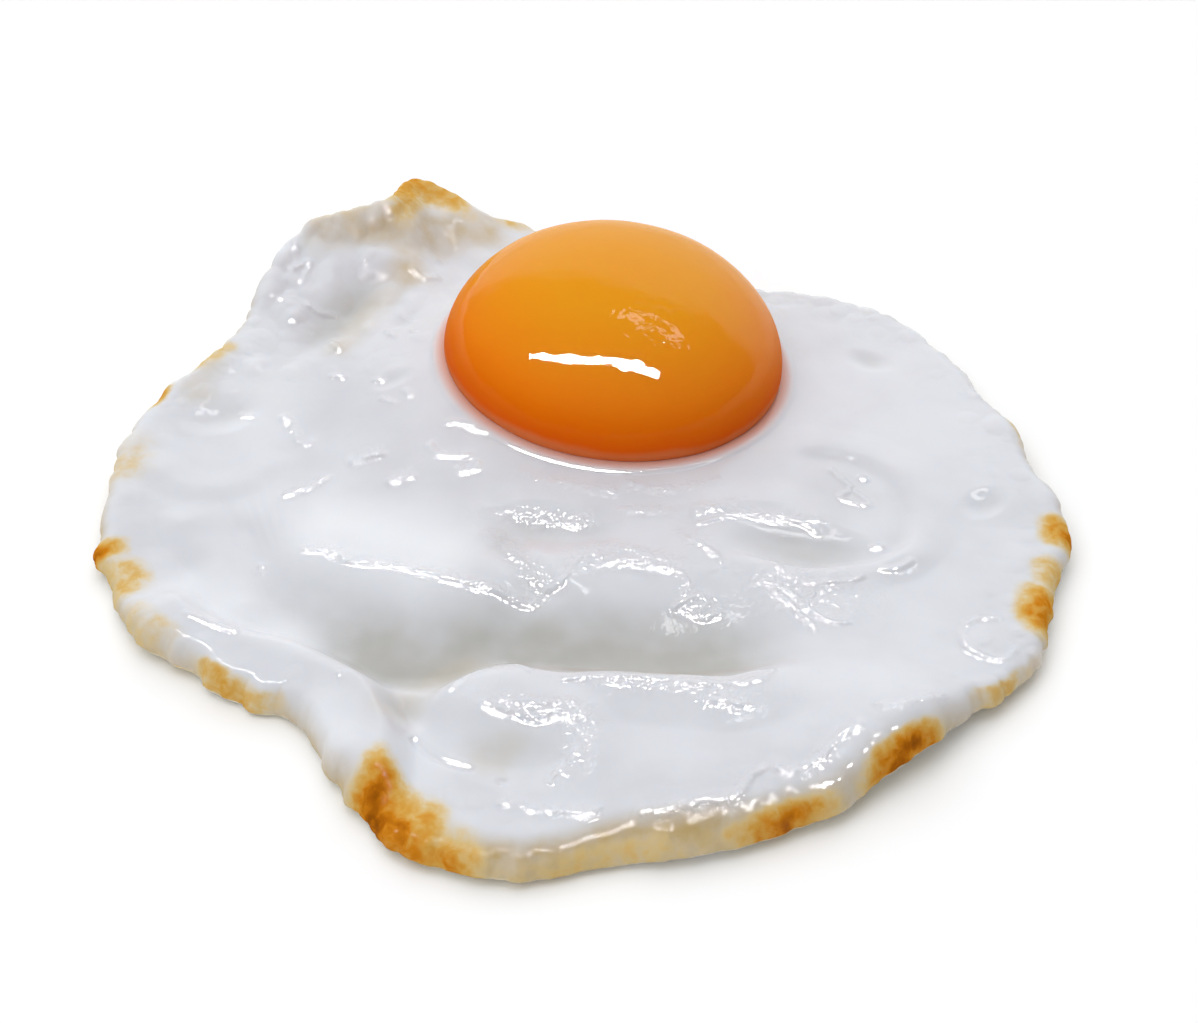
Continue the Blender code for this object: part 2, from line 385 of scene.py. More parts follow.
@dataclass(frozen=True)
class Bead:
    """A thin raised line in the skin, or a thin crease, that runs along a route.

    Attributes:
        height: Its height, below 0 for a crease.
        half_width: From its middle to its side.
        raggedness: How much it breaks up and wanders, from 0 to 1.
        route: The points that it passes through.
    """

    height: float
    half_width: float
    raggedness: float
    route: tuple[tuple[float, float], ...]

    def at(self, x: Array, y: Array) -> Array:
        """Returns the bead's height at each place.

        Args:
            x: Places along X.
            y: Places along Y.

        Returns:
            The height at each place.
        """
        flank = Flank(self.half_width, 1.8)
        line = Fold(self.height, flank, flank, (1.0, 1.0), self.route)
        wander = 0.45 * self.raggedness
        moved_x = x + wander * Grain.layered(x, y, 2.2, 71, 2)
        moved_y = y + wander * Grain.layered(x, y, 2.2, 75, 2)
        broken = 1.0 + self.raggedness * 0.9 * Grain.waves(x, y, 1.7, 79)
        return line.at(moved_x, moved_y) * broken

    def roughness_near(self, x: Array, y: Array) -> Array:
        """Returns how broken the skin is near the line, from 0 to its raggedness.

        Args:
            x: Places along X.
            y: Places along Y.

        Returns:
            The brokenness at each place.
        """
        flank = Flank(2.4 * self.half_width)
        return Fold(self.raggedness, flank, flank, (1.0, 1.0), self.route).at(x, y)


@dataclass(frozen=True)
class Crumple:
    """An oval patch of skin that set in fine wrinkles.

    Attributes:
        x: Its middle along X.
        y: Its middle along Y.
        half_length: From the middle to where it has faded to about a third.
        half_width: The same, across its length.
        turn: Degrees its length is turned from +X.
        depth: Depth of its wrinkles.
    """

    x: float
    y: float
    half_length: float
    half_width: float
    turn: float
    depth: float

    def at(self, x: Array, y: Array) -> Array:
        """Returns the depth of the wrinkles at each place.

        Args:
            x: Places along X.
            y: Places along Y.

        Returns:
            The depth at each place.
        """
        cosine, sine = math.cos(math.radians(self.turn)), math.sin(math.radians(self.turn))
        along = ((x - self.x) * cosine + (y - self.y) * sine) / self.half_length
        across = ((y - self.y) * cosine - (x - self.x) * sine) / self.half_width
        return self.depth * np.exp(-(along**2) - across**2)


OUTLINE_LOBES = (
    Lobe(111, 9.6, 5.6),  # corner flap
    Lobe(128, 2.7, 9),  # its shoulder
    Lobe(100, 2.2, 3.5),  # knuckle beside the flap
    Lobe(72, -8.0, 28),  # bay behind the yolk
    Lobe(22, -2.6, 20),  # long right shoulder
    Lobe(40, 1.1, 8),  # right back corner
    Lobe(5, -1.7, 7),  # right side bay
    Lobe(150, -3.0, 10),  # left back bay
    Lobe(178, 1.2, 14),  # left bulge
    Lobe(-170, 1.2, 2.2),  # left tip
    Lobe(-167, 1.2, 6),  # below it
    Lobe(-148, -1.9, 6),  # start of the front left bay
    Lobe(-131, -7.6, 13),  # front left bay
    Lobe(-101, 3.8, 14),  # front left lobe
    Lobe(-62, 0.7, 22),  # front right run
    Lobe(-45, -1.1, 7),  # front right bay
    Lobe(-30, 0.7, 8),  # right lobe
    Lobe(-8, 1.6, 4),  # right tip
)

EDGE_LIFTS = (
    Lobe(119, 8.5, 20),  # corner flap
    Lobe(150, 3.0, 16),  # left back
    Lobe(178, 1.6, 18),  # left side
    Lobe(5, 2.0, 34),  # right side
    Lobe(-50, 1.8, 12),  # front right curl
)

LIP_WIDENINGS = (
    Lobe(-53, 1.8, 8),  # front right wall
    Lobe(-82, 3.2, 20),  # front wall
    Lobe(-110, 3.6, 9),  # front left patch
)

RIM_THICKENINGS = (
    Lobe(-85, 1.9, 34),  # front
    Lobe(-50, 1.8, 11),  # front right wall
)

CRUMB_CHANGES = (
    Lobe(-84, -0.75, 24),  # smooth front
    Lobe(112, 1.8, 8),  # knobbly flap tip
)

RUFFLES = (
    Ruffle(9, 0.30, 0.20, 20),
    Ruffle(14, 0.25, 0.15, 75),
    Ruffle(23, 0.15, 0.08, 140),
)

FLAP_BUMPS = (
    (-35.9, 45.4), (-34.4, 42.0), (-32.8, 38.6), (-38.2, 40.4), (-21.6, 46.6), (-17.6, 42.0), (-14.0, 45.6),
    (-40.5, 34.0), (-37.0, 30.0), (-27.4, 29.0), (-22.0, 34.0), (-20.4, 25.2), (-41.0, 22.0),
)

SWELLS = (
    Swell(2, -2, 53, 53, 0, 3.2, 3.0),  # thick white
    Swell(-6, 14, 34, 28, 0, 2.4, 2.8),  # its rise round the yolk
    Swell(-22, 27, 23, 21, -20, 1.8, 2.0),  # bank left of the yolk
    Swell(14, -43, 38, 18, 3, 1.5, 2.2),  # front plateau
    Swell(-8, -39, 10, 8, -20, 0.9, 2.6),  # front mound
    Swell(-28.5, -21.5, 10, 8, -32, -0.7, 2.4),  # left bowl
    Swell(-3.5, -10.2, 10.5, 4.6, -6, -0.66, 2.4),  # dimple before the yolk
    Swell(25.5, -11.6, 11, 5.2, -6, -0.95, 2.4),  # dimple to the right
    Swell(-7, -44.8, 8, 6, -25, -0.6, 2.2),  # hollow in the front mound
    Swell(-19.3, -37.6, 4.2, 3.2, -40, -0.8, 2.0),  # junction pit
    Swell(-31, 32, 12, 5.0, 58, -1.2, 2.0),  # flap hollow
    Swell(-27, 44.5, 9, 4, 10, -0.6, 2.0),  # flap trough
    Swell(-44, 14, 6, 3.4, 30, -0.6, 2.0),  # small left hollow
    Swell(-23, 30, 3, 2, 40, -0.45, 2.0),  # left of the yolk, back
    Swell(-23.5, 17, 3, 2, 20, -0.45, 2.0),  # left of the yolk, front
    Swell(36, 26, 4, 2.5, -30, -0.6, 2.0),  # right back dimple
    Swell(31, -1.6, 9, 8, 0, -0.4, 2.0),  # ear hollow
    Swell(45.8, -26.4, 4.2, 3.6, 40, 0.45, 3.0),  # right blister
    Swell(47.5, -3.0, 3.4, 2.6, 30, -0.45, 2.4),  # right rim hollow
    *(Swell(x, y, 2.5, 1.8, 3.0 * x, 0.42, 2.0) for x, y in FLAP_BUMPS),
)

FOLDS = (
    # tongue's front lip
    Fold(1.3, Flank(16, 2.2), Flank(12.0, 1.5), (8, 7),
         ((-40, -14.0), (-33, -12.0), (-27, -13.6), (-21.7, -15.2), (-15.3, -17.4), (-9.0, -19.4),
          (-4.4, -21.6))),
    # long valley
    Fold(-1.6, Flank(13, 2.0), Flank(4.6, 1.9), (12, 14),
         ((-33, -24), (-27, -28.4), (-21, -31.0), (-15, -30.8), (-8, -29.2), (0, -30.0), (12, -30.8),
          (28, -28.5))),
    # groove between the tongue and the saddle
    Fold(-0.5, Flank(3.2, 2.0), Flank(3.0, 2.0), (4, 5),
         ((-12.8, -11.0), (-9.2, -13.4), (-7.4, -15.6), (-5.0, -18.6), (-3.2, -22.4))),
    # saddle's front lip
    Fold(0.5, Flank(7, 2.0), Flank(4.4, 1.7), (3, 9),
         ((-3.6, -20.4), (-1.9, -16.8), (-0.3, -13.8), (3.3, -13.0), (7.5, -13.6), (11.2, -15.8),
          (12.6, -18.8), (17, -22.4))),
    # lip behind the dimple before the yolk
    Fold(0.35, Flank(5, 2.0), Flank(2.4, 1.6), (3, 3), ((-10.5, -7.0), (-7, -5.6), (-2.5, -6.2),
          (1.5, -8.6))),
    # lip behind the dimple to the right
    Fold(0.45, Flank(5, 2.0), Flank(2.4, 1.6), (3, 4),
         ((12, -7.4), (16, -5.0), (21.5, -4.1), (26, -5.4), (30, -8.2))),
    # lip below the dimple to the right, up the ear's inner side
    Fold(0.5, Flank(1.8, 1.7), Flank(4.0, 1.9), (4, 5),
         ((16, -13.2), (24, -15.8), (31, -14.8), (36.5, -13.0), (40, -8.6))),
    # lip behind the front mound and the front plateau
    Fold(1.2, Flank(2.4, 1.6), Flank(8, 2.0), (5, 8),
         ((-17.6, -40.5), (-15.4, -36.6), (-12.6, -33.4), (-8.6, -31.2), (-5.2, -33.4), (-1.5, -34.2),
          (4, -33.6),
          (9, -34.2), (15.5, -35.2), (20.5, -33.4), (25, -31))),
    # lip round the hollow in the front mound
    Fold(0.38, Flank(4, 2.0), Flank(2.8, 1.6), (6, 3),
         ((-9.5, -37.4), (-5.4, -38.4), (-1.6, -38.8), (1.0, -41.2), (0.8, -45), (-2.6, -49.8))),
    # front left ridge
    Fold(2.5, Flank(4.0, 1.7), Flank(10, 2.0), (7, 6),
         ((-50, -16), (-44.5, -23), (-38.5, -27), (-32.5, -29), (-27.3, -32), (-23.6, -36.4),
          (-21.9, -41.5),
          (-21.3, -47), (-21, -53))),
    # ear's ridge and the groove inside it
    Fold(0.38, Flank(3.8, 2.0), Flank(3.2, 2.0), (5, 5),
         ((22, 6.0), (28, 8.0), (34, 7.0), (39.3, 2.4), (41, -4.0), (39.6, -10.6), (35, -15.4))),
    Fold(-0.22, Flank(2.2, 1.8), Flank(2.0, 1.8), (4, 4),
         ((24.8, 4.5), (30.8, 4.8), (35.6, 2.0), (37.6, -4.0), (36.8, -9.2), (33.4, -12.6))),
    # flap crest
    Fold(1.5, Flank(3.2, 2.0), Flank(6.0, 2.0), (8, 8), ((-46, 33), (-41, 42), (-34, 48.5), (-25, 50.5),
          (-15, 50.5))),
    # left terrace
    Fold(0.35, Flank(3.8, 2.0), Flank(3.4, 1.8), (4, 4), ((-52, 7), (-50, 2.5), (-45.8, 0.6),
          (-40.2, 2.4), (-37, 8))),
    # fold from the left tip to the bowl's left wall
    Fold(0.7, Flank(6, 2.0), Flank(3.4, 1.8), (4, 5), ((-49, -3), (-46, -8), (-42.5, -12.5), (-40, -18),
          (-38.5, -25))),
)

BEADS = (
    # along the tongue's front lip
    Bead(0.15, 0.5, 1.0, ((-33, -12.2), (-29.6, -12.8), (-26.6, -14.6), (-21.7, -16.0), (-15.3, -18.3),
                          (-9.0, -20.4), (-6.4, -21.4), (-4.4, -20.6))),
    Bead(0.24, 0.6, 0.6, ((-37.2, -13), (-37.0, -16.0))),
    # along the saddle's front lip
    Bead(0.19, 0.5, 1.0, ((-4.6, -19.8), (-2.4, -18.2), (-1.3, -15.6), (0.6, -14.2), (3.3, -15.2),
          (6.1, -14.8),
                          (8.6, -16.0), (11.2, -17.2), (12.0, -19.2), (10.8, -20.2))),
    Bead(0.26, 0.6, 0.8, ((9.8, -22.6), (12.4, -20.6), (14.4, -20.6), (13.2, -23.0), (16.0, -22.6))),
    # down the groove
    Bead(0.22, 0.6, 1.0, ((-12.4, -10.4), (-9.8, -12.0), (-7.8, -14.6), (-5.8, -17.2), (-3.6, -19.8))),
    # behind the dimple before the yolk
    Bead(0.20, 0.6, 0.8, ((-9.2, -7.4), (-5.8, -7.6), (-3.0, -8.6), (0.2, -9.2))),
    # behind the dimple to the right
    Bead(0.20, 0.6, 0.4, ((12.6, -8.8), (15.7, -7.4), (18.9, -6.4), (23.0, -6.6), (26.4, -7.8),
          (28, -9.4))),
    # the crumpled skin below it
    Bead(0.26, 0.6, 0.8, ((21, -14.2), (24.5, -17.2), (28.5, -17.8), (33, -16.0))),
    Bead(0.26, 0.6, 0.7, ((20.8, -17.8), (23.7, -21.2), (26.7, -26.0))),
    Bead(0.26, 0.6, 0.7, ((22.2, -17.6), (25.2, -21.0), (27.8, -23.8), (30.8, -23.8))),
    Bead(0.26, 0.6, 0.8, ((11.2, -10.6), (13.7, -12.2), (15.6, -14.4), (15.4, -16.0))),
    # the front lip
    Bead(0.32, 0.6, 0.8, ((-2.7, -35.2), (3.8, -34.6), (8.4, -35.2), (13.0, -36.2), (16.2, -36.2),
          (19.8, -35.0),
                          (21.2, -32.6))),
    Bead(0.24, 0.6, 0.6, ((-14.9, -36.6), (-12.7, -34.1), (-10.1, -32.6), (-8.2, -32.0), (-6.6, -32.6),
                          (-4.9, -34.4))),
    Bead(0.27, 0.6, 1.0, ((13.4, -38.2), (16.4, -39.2), (19, -38.6))),
    Bead(0.26, 0.6, 0.9, ((14.0, -36.8), (16.0, -38.6))),
    # round the hollow in the front mound
    Bead(0.16, 0.6, 1.0, ((-11.5, -37.6), (-8.2, -39.0), (-5.0, -40.4), (-1.8, -40.2), (0.0, -42.0),
          (-0.7, -45.0),
                          (-3.6, -50.0))),
    Bead(0.20, 0.6, 1.0, ((-9.6, -37.0), (-5.0, -39.0), (-1.0, -38.9), (1.0, -41.4), (0.6, -44.6))),
    Bead(0.30, 0.7, 1.0, ((-0.2, -41.0), (0.2, -43.5), (-1.0, -46.5), (-3.6, -50.0))),
    # crease inside the front rim
    Bead(-0.42, 0.8, 0.1, ((-18.6, -41.6), (-16.8, -43.9), (-15, -45.5), (-12.9, -46.6), (-11, -47.2))),
    Bead(-0.36, 0.8, 0.1, ((-9.6, -48.8), (-7.4, -49.0))),
    # short lines in the ear
    Bead(0.32, 0.7, 0.4, ((29.4, 3.6), (30.6, 1.8), (31.9, -0.2), (30.6, -2.0), (33.8, -3.1), (33.4, -1.6),
                          (31.9, -0.2))),
    Bead(0.32, 0.7, 0.4, ((32.6, 2.2), (34.6, 1.2))),
    Bead(0.34, 0.7, 0.1, ((33.0, -11.0), (35.6, -10.4))),
    Bead(0.36, 0.7, 0.1, ((33.6, -15.0), (36.2, -14.8), (38.6, -13.2))),
    # ripples that follow the yolk
    Bead(0.34, 0.8, 0.2, ((-17, 7.6), (-14.6, 7.4), (-11.4, 4.6))),
    Bead(0.34, 0.8, 0.3, ((-18.6, 5.2), (-17.2, 2.6), (-12.6, 1.6))),
    Bead(0.32, 0.8, 0.5, ((-15.4, 0.4), (-14.0, -0.5), (-12.4, 0.1), (-13.4, 1.1))),
    Bead(0.05, 0.8, 0.6, ((-8.5, -0.9), (-4, -2.6), (2, -3.6), (4.5, -3.4))),
    Bead(0.08, 0.9, 0.5, ((3.2, -6.8), (9, -6.4), (15, -6.0), (20, -4.0))),
    Bead(0.08, 0.9, 0.5, ((4, -2.2), (8.5, -3.0), (13, -2.2), (17, -0.2))),
    # left of the yolk, back and front
    Bead(0.38, 0.6, 0.4, ((-23.8, 31.8), (-22.2, 30.5), (-21.2, 29.2))),
    Bead(0.38, 0.6, 0.4, ((-25.5, 28.1), (-24.1, 26.4), (-23.0, 25.6))),
    Bead(0.34, 0.5, 0.3, ((-22.2, 27.4), (-20.6, 25.8))),
    Bead(0.36, 0.6, 0.4, ((-26.4, 17.8), (-23.9, 16.9))),
    Bead(0.36, 0.6, 0.4, ((-22.2, 15.0), (-20.8, 12.6))),
    Bead(0.36, 0.6, 0.4, ((-25.0, 14.2), (-22.6, 12.0))),
    # on the left
    Bead(0.28, 0.6, 0.7, ((-37.2, 14.5), (-35.8, 11.7), (-34.3, 8.7), (-32.4, 8.4))),
    Bead(0.30, 0.7, 0.3, ((-42.8, 14.5), (-40.0, 13.5))),
    Bead(0.44, 0.7, 0.4, ((-32.2, 27.4), (-30.2, 23.6))),
    Bead(0.38, 0.6, 0.4, ((-32.0, 19.8), (-29.2, 18.8))),
    # on the flap
    Bead(0.46, 0.7, 0.5, ((-38.0, 43.6), (-37.0, 40.4))),
    Bead(0.46, 0.7, 0.5, ((-38.2, 38.2), (-35.4, 39.8), (-36.2, 36.2))),
    Bead(0.44, 0.7, 0.5, ((-39.8, 34.2), (-37.8, 33.2))),
    Bead(0.44, 0.7, 0.5, ((-35.8, 33.2), (-33.4, 32.4), (-30.8, 32.6))),
    Bead(0.48, 0.8, 0.5, ((-29.2, 40.9), (-27.8, 39.9))),
    Bead(0.50, 0.8, 0.6, ((-22.6, 40.4), (-20.7, 39.0), (-18.4, 40.6))),
    Bead(0.44, 0.7, 0.4, ((-19.8, 44.6), (-18.2, 43.2))),
    # drops on the tongue
    Bead(0.40, 0.9, 0.9, ((-28.6, 3.0), (-25.8, 3.8), (-23.4, 4.0))),
    Bead(0.40, 0.9, 0.9, ((-23.8, -1.2), (-21.6, -0.8), (-19.4, 0.0))),
    Bead(0.34, 0.8, 0.8, ((-36, -1.8), (-34, -0.8), (-31.6, 0.4), (-30, 1.6))),
    # the front rim
    Bead(0.34, 0.8, 0.8, ((-9, -51.6), (-5, -53), (-1, -53.6), (2.6, -53.4))),
    Bead(0.36, 0.8, 0.7, ((5.4, -54.2), (9.3, -53.8), (12.5, -53.0), (16.4, -52.2), (17.6, -49.6),
          (19.8, -48.0))),
    Bead(0.34, 0.8, 0.8, ((19.8, -48.4), (22.6, -48.8), (25.2, -47.4), (27.4, -44.6), (30.4, -42.6))),
    Bead(0.34, 0.8, 0.8, ((31, -40.4), (33.6, -40.8), (36.6, -39.4), (40, -37.4))),
    # the front left ridge
    Bead(0.28, 0.8, 0.3, ((-45.4, -23.4), (-43.2, -24.4), (-40.2, -26.0), (-38, -26.8))),
    Bead(0.24, 0.7, 0.2, ((-27.4, -33.2), (-25.8, -34.8))),
    # blister on the right rim
    Bead(0.34, 0.8, 0.5, ((48.2, -23.2), (44.6, -23.0), (42.8, -25.0), (43.6, -28.6), (46.6, -30.0),
          (49.0, -27.6))),
)

CRUMPLES = (
    Crumple(-4.0, -8.0, 6.0, 1.3, -8, 0.36),  # dimple before the yolk, top edge
    Crumple(-9.0, -13.0, 4, 1.6, -50, 0.40),  # groove
    Crumple(-5.2, -18.4, 3, 1.6, -60, 0.35),
    Crumple(0.8, -14.8, 3.6, 2.0, 20, 0.36),  # saddle's front lip
    Crumple(7.5, -15.0, 5.5, 1.6, -14, 0.40),
    Crumple(13.5, -22.2, 2.6, 1.2, -10, 0.36),
    Crumple(20.5, -6.4, 8, 1.2, -4, 0.34),  # dimple to the right, top edge
    Crumple(27, -19.6, 7.5, 4.0, -12, 0.40),  # below it
    Crumple(13, -11.4, 3.6, 2.0, -50, 0.25),
    Crumple(9, -35.6, 11, 1.5, -3, 0.32),  # front lip
    Crumple(16, -38.8, 4, 1.6, -10, 0.28),
    Crumple(-6.5, -38.9, 5.5, 1.5, -14, 0.42),  # lip round the front hollow
    Crumple(0.2, -43.5, 2.0, 4.5, -12, 0.40),
    Crumple(-29, -13.0, 3.4, 1.0, -30, 0.28),  # tongue's front lip
    Crumple(-17, -17.6, 9, 1.1, -20, 0.26),
)


@dataclass(frozen=True)
class TintBand:
    """A band of the white painted in another tint along a route.

    Attributes:
        strength: From 0 for none to 1 for full.
        half_width: From its middle to where it has gone.
        route: The points that it passes through.
    """

    strength: float
    half_width: float
    route: tuple[tuple[float, float], ...]

    def at(self, x: Array, y: Array) -> Array:
        """Returns its strength at each place.

        Args:
            x: Places along X.
            y: Places along Y.

        Returns:
            The strength at each place.
        """
        flank = Flank(self.half_width)
        fade = 0.9 * self.half_width
        return Fold(self.strength, flank, flank, (fade, fade), self.route).at(x, y)


# Warmer beige bands: partly the white's own tone and partly painted shade, under the flap's crest, in its
# creases and in the front hollows.
STAINS_AND_SHADES = (
    TintBand(1.2, 5.0, ((-38, 44), (-33.3, 45.4), (-28.0, 46.6), (-23, 46.6), (-17.0, 49.6), (-9.0, 50.6))),
    TintBand(0.8, 3.2, ((-25, 48), (-23.2, 43.5), (-22.4, 39.0), (-21, 36.0))),
    TintBand(0.5, 3.4, ((-22.5, 41.0), (-25.6, 35.5), (-28.6, 29.5), (-31.7, 22.0))),
    TintBand(0.5, 3.4, ((-44.0, 27.0), (-47.6, 20.0), (-47.0, 14.0))),
    TintBand(0.3, 4.0, ((-22, -42), (-20.5, -38), (-18.6, -35), (-15, -31.6), (-9, -29.4))),
    TintBand(0.35, 5.0, ((-12, -49), (-9, -45), (-5, -46))),
)


# Where the white is thickest and painted brighter, partly its own whiter tone and partly painted light on
# these raised stretches, in rows like the tint bands'.
THICK_AND_LIT_BANDS = (
    TintBand(1.0, 9.0, ((-37, -6), (-27, -10), (-18, -14), (-10, -18))),
    TintBand(0.8, 9.0, ((-44, 6), (-40, 16), (-34, 25))),
    TintBand(0.7, 5.0, ((-47, -12), (-42, -19), (-36, -24), (-28, -29))),
    TintBand(0.6, 5.0, ((-30, -34), (-27, -41), (-25, -47))),
    TintBand(0.5, 5.0, ((-33, -47), (-38, -36), (-46, -28))),
)


@dataclass(frozen=True)
class YolkForm:
    """Where the yolk lies and its true shape: a dome on a flatter bowl, tilted a little.

    Attributes:
        x: Its middle along X.
        y: Its middle along Y.
        ring_height: Height of its widest ring.
        radius: Radius of that ring.
        dome: From the ring up to the crown.
        bowl: From the ring down to the underside.
        tilt_x: Degrees of tilt about X.
        tilt_y: Degrees of tilt about Y.
    """

    x: float = 3.7
    y: float = 21.6
    ring_height: float = 8.1
    radius: float = 21.0
    dome: float = 13.9
    bowl: float = 6.1
    tilt_x: float = -1.0
    tilt_y: float = 5.5

    def rotation(self) -> Matrix:
        """Returns its tilt as a rotation."""
        about_x = Matrix.Rotation(math.radians(self.tilt_x), 3, "X")
        return about_x @ Matrix.Rotation(math.radians(self.tilt_y), 3, "Y")

    def ring_at(self, x: Array, y: Array) -> Array:
        """Returns the height of the tilted plane of its widest ring at each place.

        Args:
            x: Places along X.
            y: Places along Y.

        Returns:
            The height at each place.
        """
        rise_x = -math.tan(math.radians(self.tilt_y))
        rise_y = math.tan(math.radians(self.tilt_x))
        return self.ring_height + rise_x * (x - self.x) + rise_y * (y - self.y)

    def clear_of(self, x: Array, y: Array) -> Array:
        """Returns the distance in plan from its widest ring, below 0 inside it."""
        return np.hypot(x - self.x, y - self.y) - self.radius


@dataclass
class DiscGrid:
    """A disc of quads with no pole: a square grid pressed into a circle, ring by ring.

    Attributes:
        cells: Cells along one side of the square, an even number.
    """

    cells: int

    def unit(self) -> tuple[Array, Array]:
        """Returns each point's share of the radius and its bearing in degrees.

        Returns:
            The shares of the radius, and the bearings.
        """
        line = np.linspace(-1.0, 1.0, self.cells + 1)
        a, b = np.meshgrid(line, line, indexing="ij")
        wide = np.abs(a) > np.abs(b)
        share = np.maximum(np.abs(a), np.abs(b))
        with np.errstate(divide="ignore", invalid="ignore"):
            turn = np.where(wide, np.pi / 4 * b / a, np.pi / 2 - np.pi / 4 * a / b)
        radius = np.where(wide, a, b)
        turn = np.where(share == 0, 0.0, turn)
        bearing = np.degrees(np.arctan2(radius * np.sin(turn), radius * np.cos(turn)))
        return share, bearing

    def faces(self, first: int = 0, flip: bool = False) -> Array:
        """Returns the quads' corner numbers.

        Args:
            first: Number of the grid's first point in the whole mesh.
            flip: Whether the quads face down.

        Returns:
            One row of four corner numbers for each quad.
        """
        number = np.arange((self.cells + 1) ** 2).reshape(self.cells + 1, -1) + first
        corners = [number[:-1, :-1], number[1:, :-1], number[1:, 1:], number[:-1, 1:]]
        if flip:
            corners.reverse()
        return np.stack(corners, -1).reshape(-1, 4)

    def rim(self, first: int = 0) -> Array:
        """Returns the numbers of the points along the rim, counter-clockwise from one corner."""
        number = np.arange((self.cells + 1) ** 2).reshape(self.cells + 1, -1) + first
        return np.concatenate([number[:-1, 0], number[-1, :-1], number[:0:-1, -1], number[0, :0:-1]])


@dataclass(frozen=True)
class Toast:
    """A browned stretch of the edge.

    Attributes:
        bearing: Its middle, in degrees.
        strength: How brown, from 0 for none to 1 for dark.
        half_width: Degrees over which it fades.
        depth: How far in from the edge it reaches, in millimetres.
        wall_share: How far it keeps to the wall under the rim, from 0 to 1.
    """

    bearing: float
    strength: float
    half_width: float
    depth: float
    wall_share: float = 0.0

    def at(self, bearing: Array, inward: Array, wall: Array) -> Array:
        """Works out its strength.

        Args:
            bearing: Bearings from the middle.
            inward: Distances in from the edge.
            wall: How far down the rounded edge each place lies, from 0 to 1.

        Returns:
            Its strength at each place.
        """
        turn = (bearing - self.bearing + 180.0) % 360.0 - 180.0
        along = np.exp(-np.abs(turn / self.half_width) ** 3)
        keeps = 1.0 - self.wall_share * (1.0 - smooth_step((wall - 0.25) / 0.5))
        return self.strength * along * smooth_step(1.3 - inward / self.depth) * keeps


# How strongly the wall under the rim is painted khaki, strongest at the front: partly pan browning, partly
# painted shade.
WALL_TINTS = (
    Lobe(-85, 0.75, 26),  # front
    Lobe(-108, 0.20, 10),  # front left
    Lobe(-165, 0.25, 14),  # left
)

TOASTS = (
    Toast(112.0, 0.52, 6.0, 8.5),  # flap tip
    Toast(100, 0.26, 4.0, 5.0),  # right of the flap tip
    Toast(153, 0.45, 3.5, 3.6),  # left back
    Toast(162, 0.70, 2.2, 2.2),
    Toast(174, 0.20, 6.0, 7.0),  # left side
    Toast(-170.2, 0.72, 1.7, 4.4),  # left tip
    Toast(-165, 0.36, 4.5, 6.0),  # below it
    Toast(-155, 0.24, 6.0, 3.6),
    Toast(-140, 0.40, 7.0, 1.6),
    Toast(-112, 0.86, 4.8, 7.0, 0.1),  # front left patch
    Toast(-108, 0.80, 3.4, 7.0, 0.2),
    Toast(-104, 0.68, 4.0, 5.6, 0.6),
    Toast(-88, 0.28, 16.0, 4.0, 0.9),  # front wall
    Toast(-69, 0.66, 6.5, 3.4, 0.85),  # front right wall
    Toast(-53, 0.92, 5.6, 5.0, 1.0),  # front right patch
    Toast(-35, 0.30, 6.0, 1.2),
    Toast(-22, 0.54, 4.4, 5.0),  # right rim
    Toast(-15, 0.45, 3.0, 4.0),
    Toast(-7.7, 0.62, 2.8, 4.2),  # right tip
    Toast(12, 0.25, 5.0, 1.2),
)


@dataclass
class Patch:
    """One closed mesh in the making, with a shade for each of its points.

    Attributes:
        places: Points in millimetres.
        faces: Lists of corner numbers, one array for each kind of face.
        shades: Named values from 0 to 1, one for each point.
    """

    places: list[Array] = field(default_factory=list)
    faces: list[Array] = field(default_factory=list)
    shades: dict[str, list[Array]] = field(default_factory=dict)

    def add(self, places: Array, faces: list[Array], **shades: Array) -> None:
        """Adds points, faces that already count from the whole mesh's first point, and shades.

        Args:
            places: The new points, in millimetres.
            faces: Arrays of corner numbers.
            **shades: Named values, one for each new point.
        """
        self.places.append(places)
        self.faces.extend(faces)
        for name, values in shades.items():
            self.shades.setdefault(name, []).append(values)

    def piece(self, name: str) -> bpy.types.Object:
        """Makes the object, in metres, smooth shaded, with the shades as attributes.

        Args:
            name: The object's name.

        Returns:
            The new object, linked to the scene.
        """
        mesh = bpy.data.meshes.new(name)
        corners = [face for kind in self.faces for face in np.asarray(kind, object).tolist()]
        mesh.from_pydata((np.vstack(self.places) * MM).tolist(), [], corners)
        mesh.update()
        for label, values in self.shades.items():
            layer = mesh.attributes.new(label, "FLOAT", "POINT")
            layer.data.foreach_set("value", np.concatenate(values).astype(np.float32))
        mesh.shade_smooth()
        made = bpy.data.objects.new(name, mesh)
        bpy.context.scene.collection.objects.link(made)
        return made


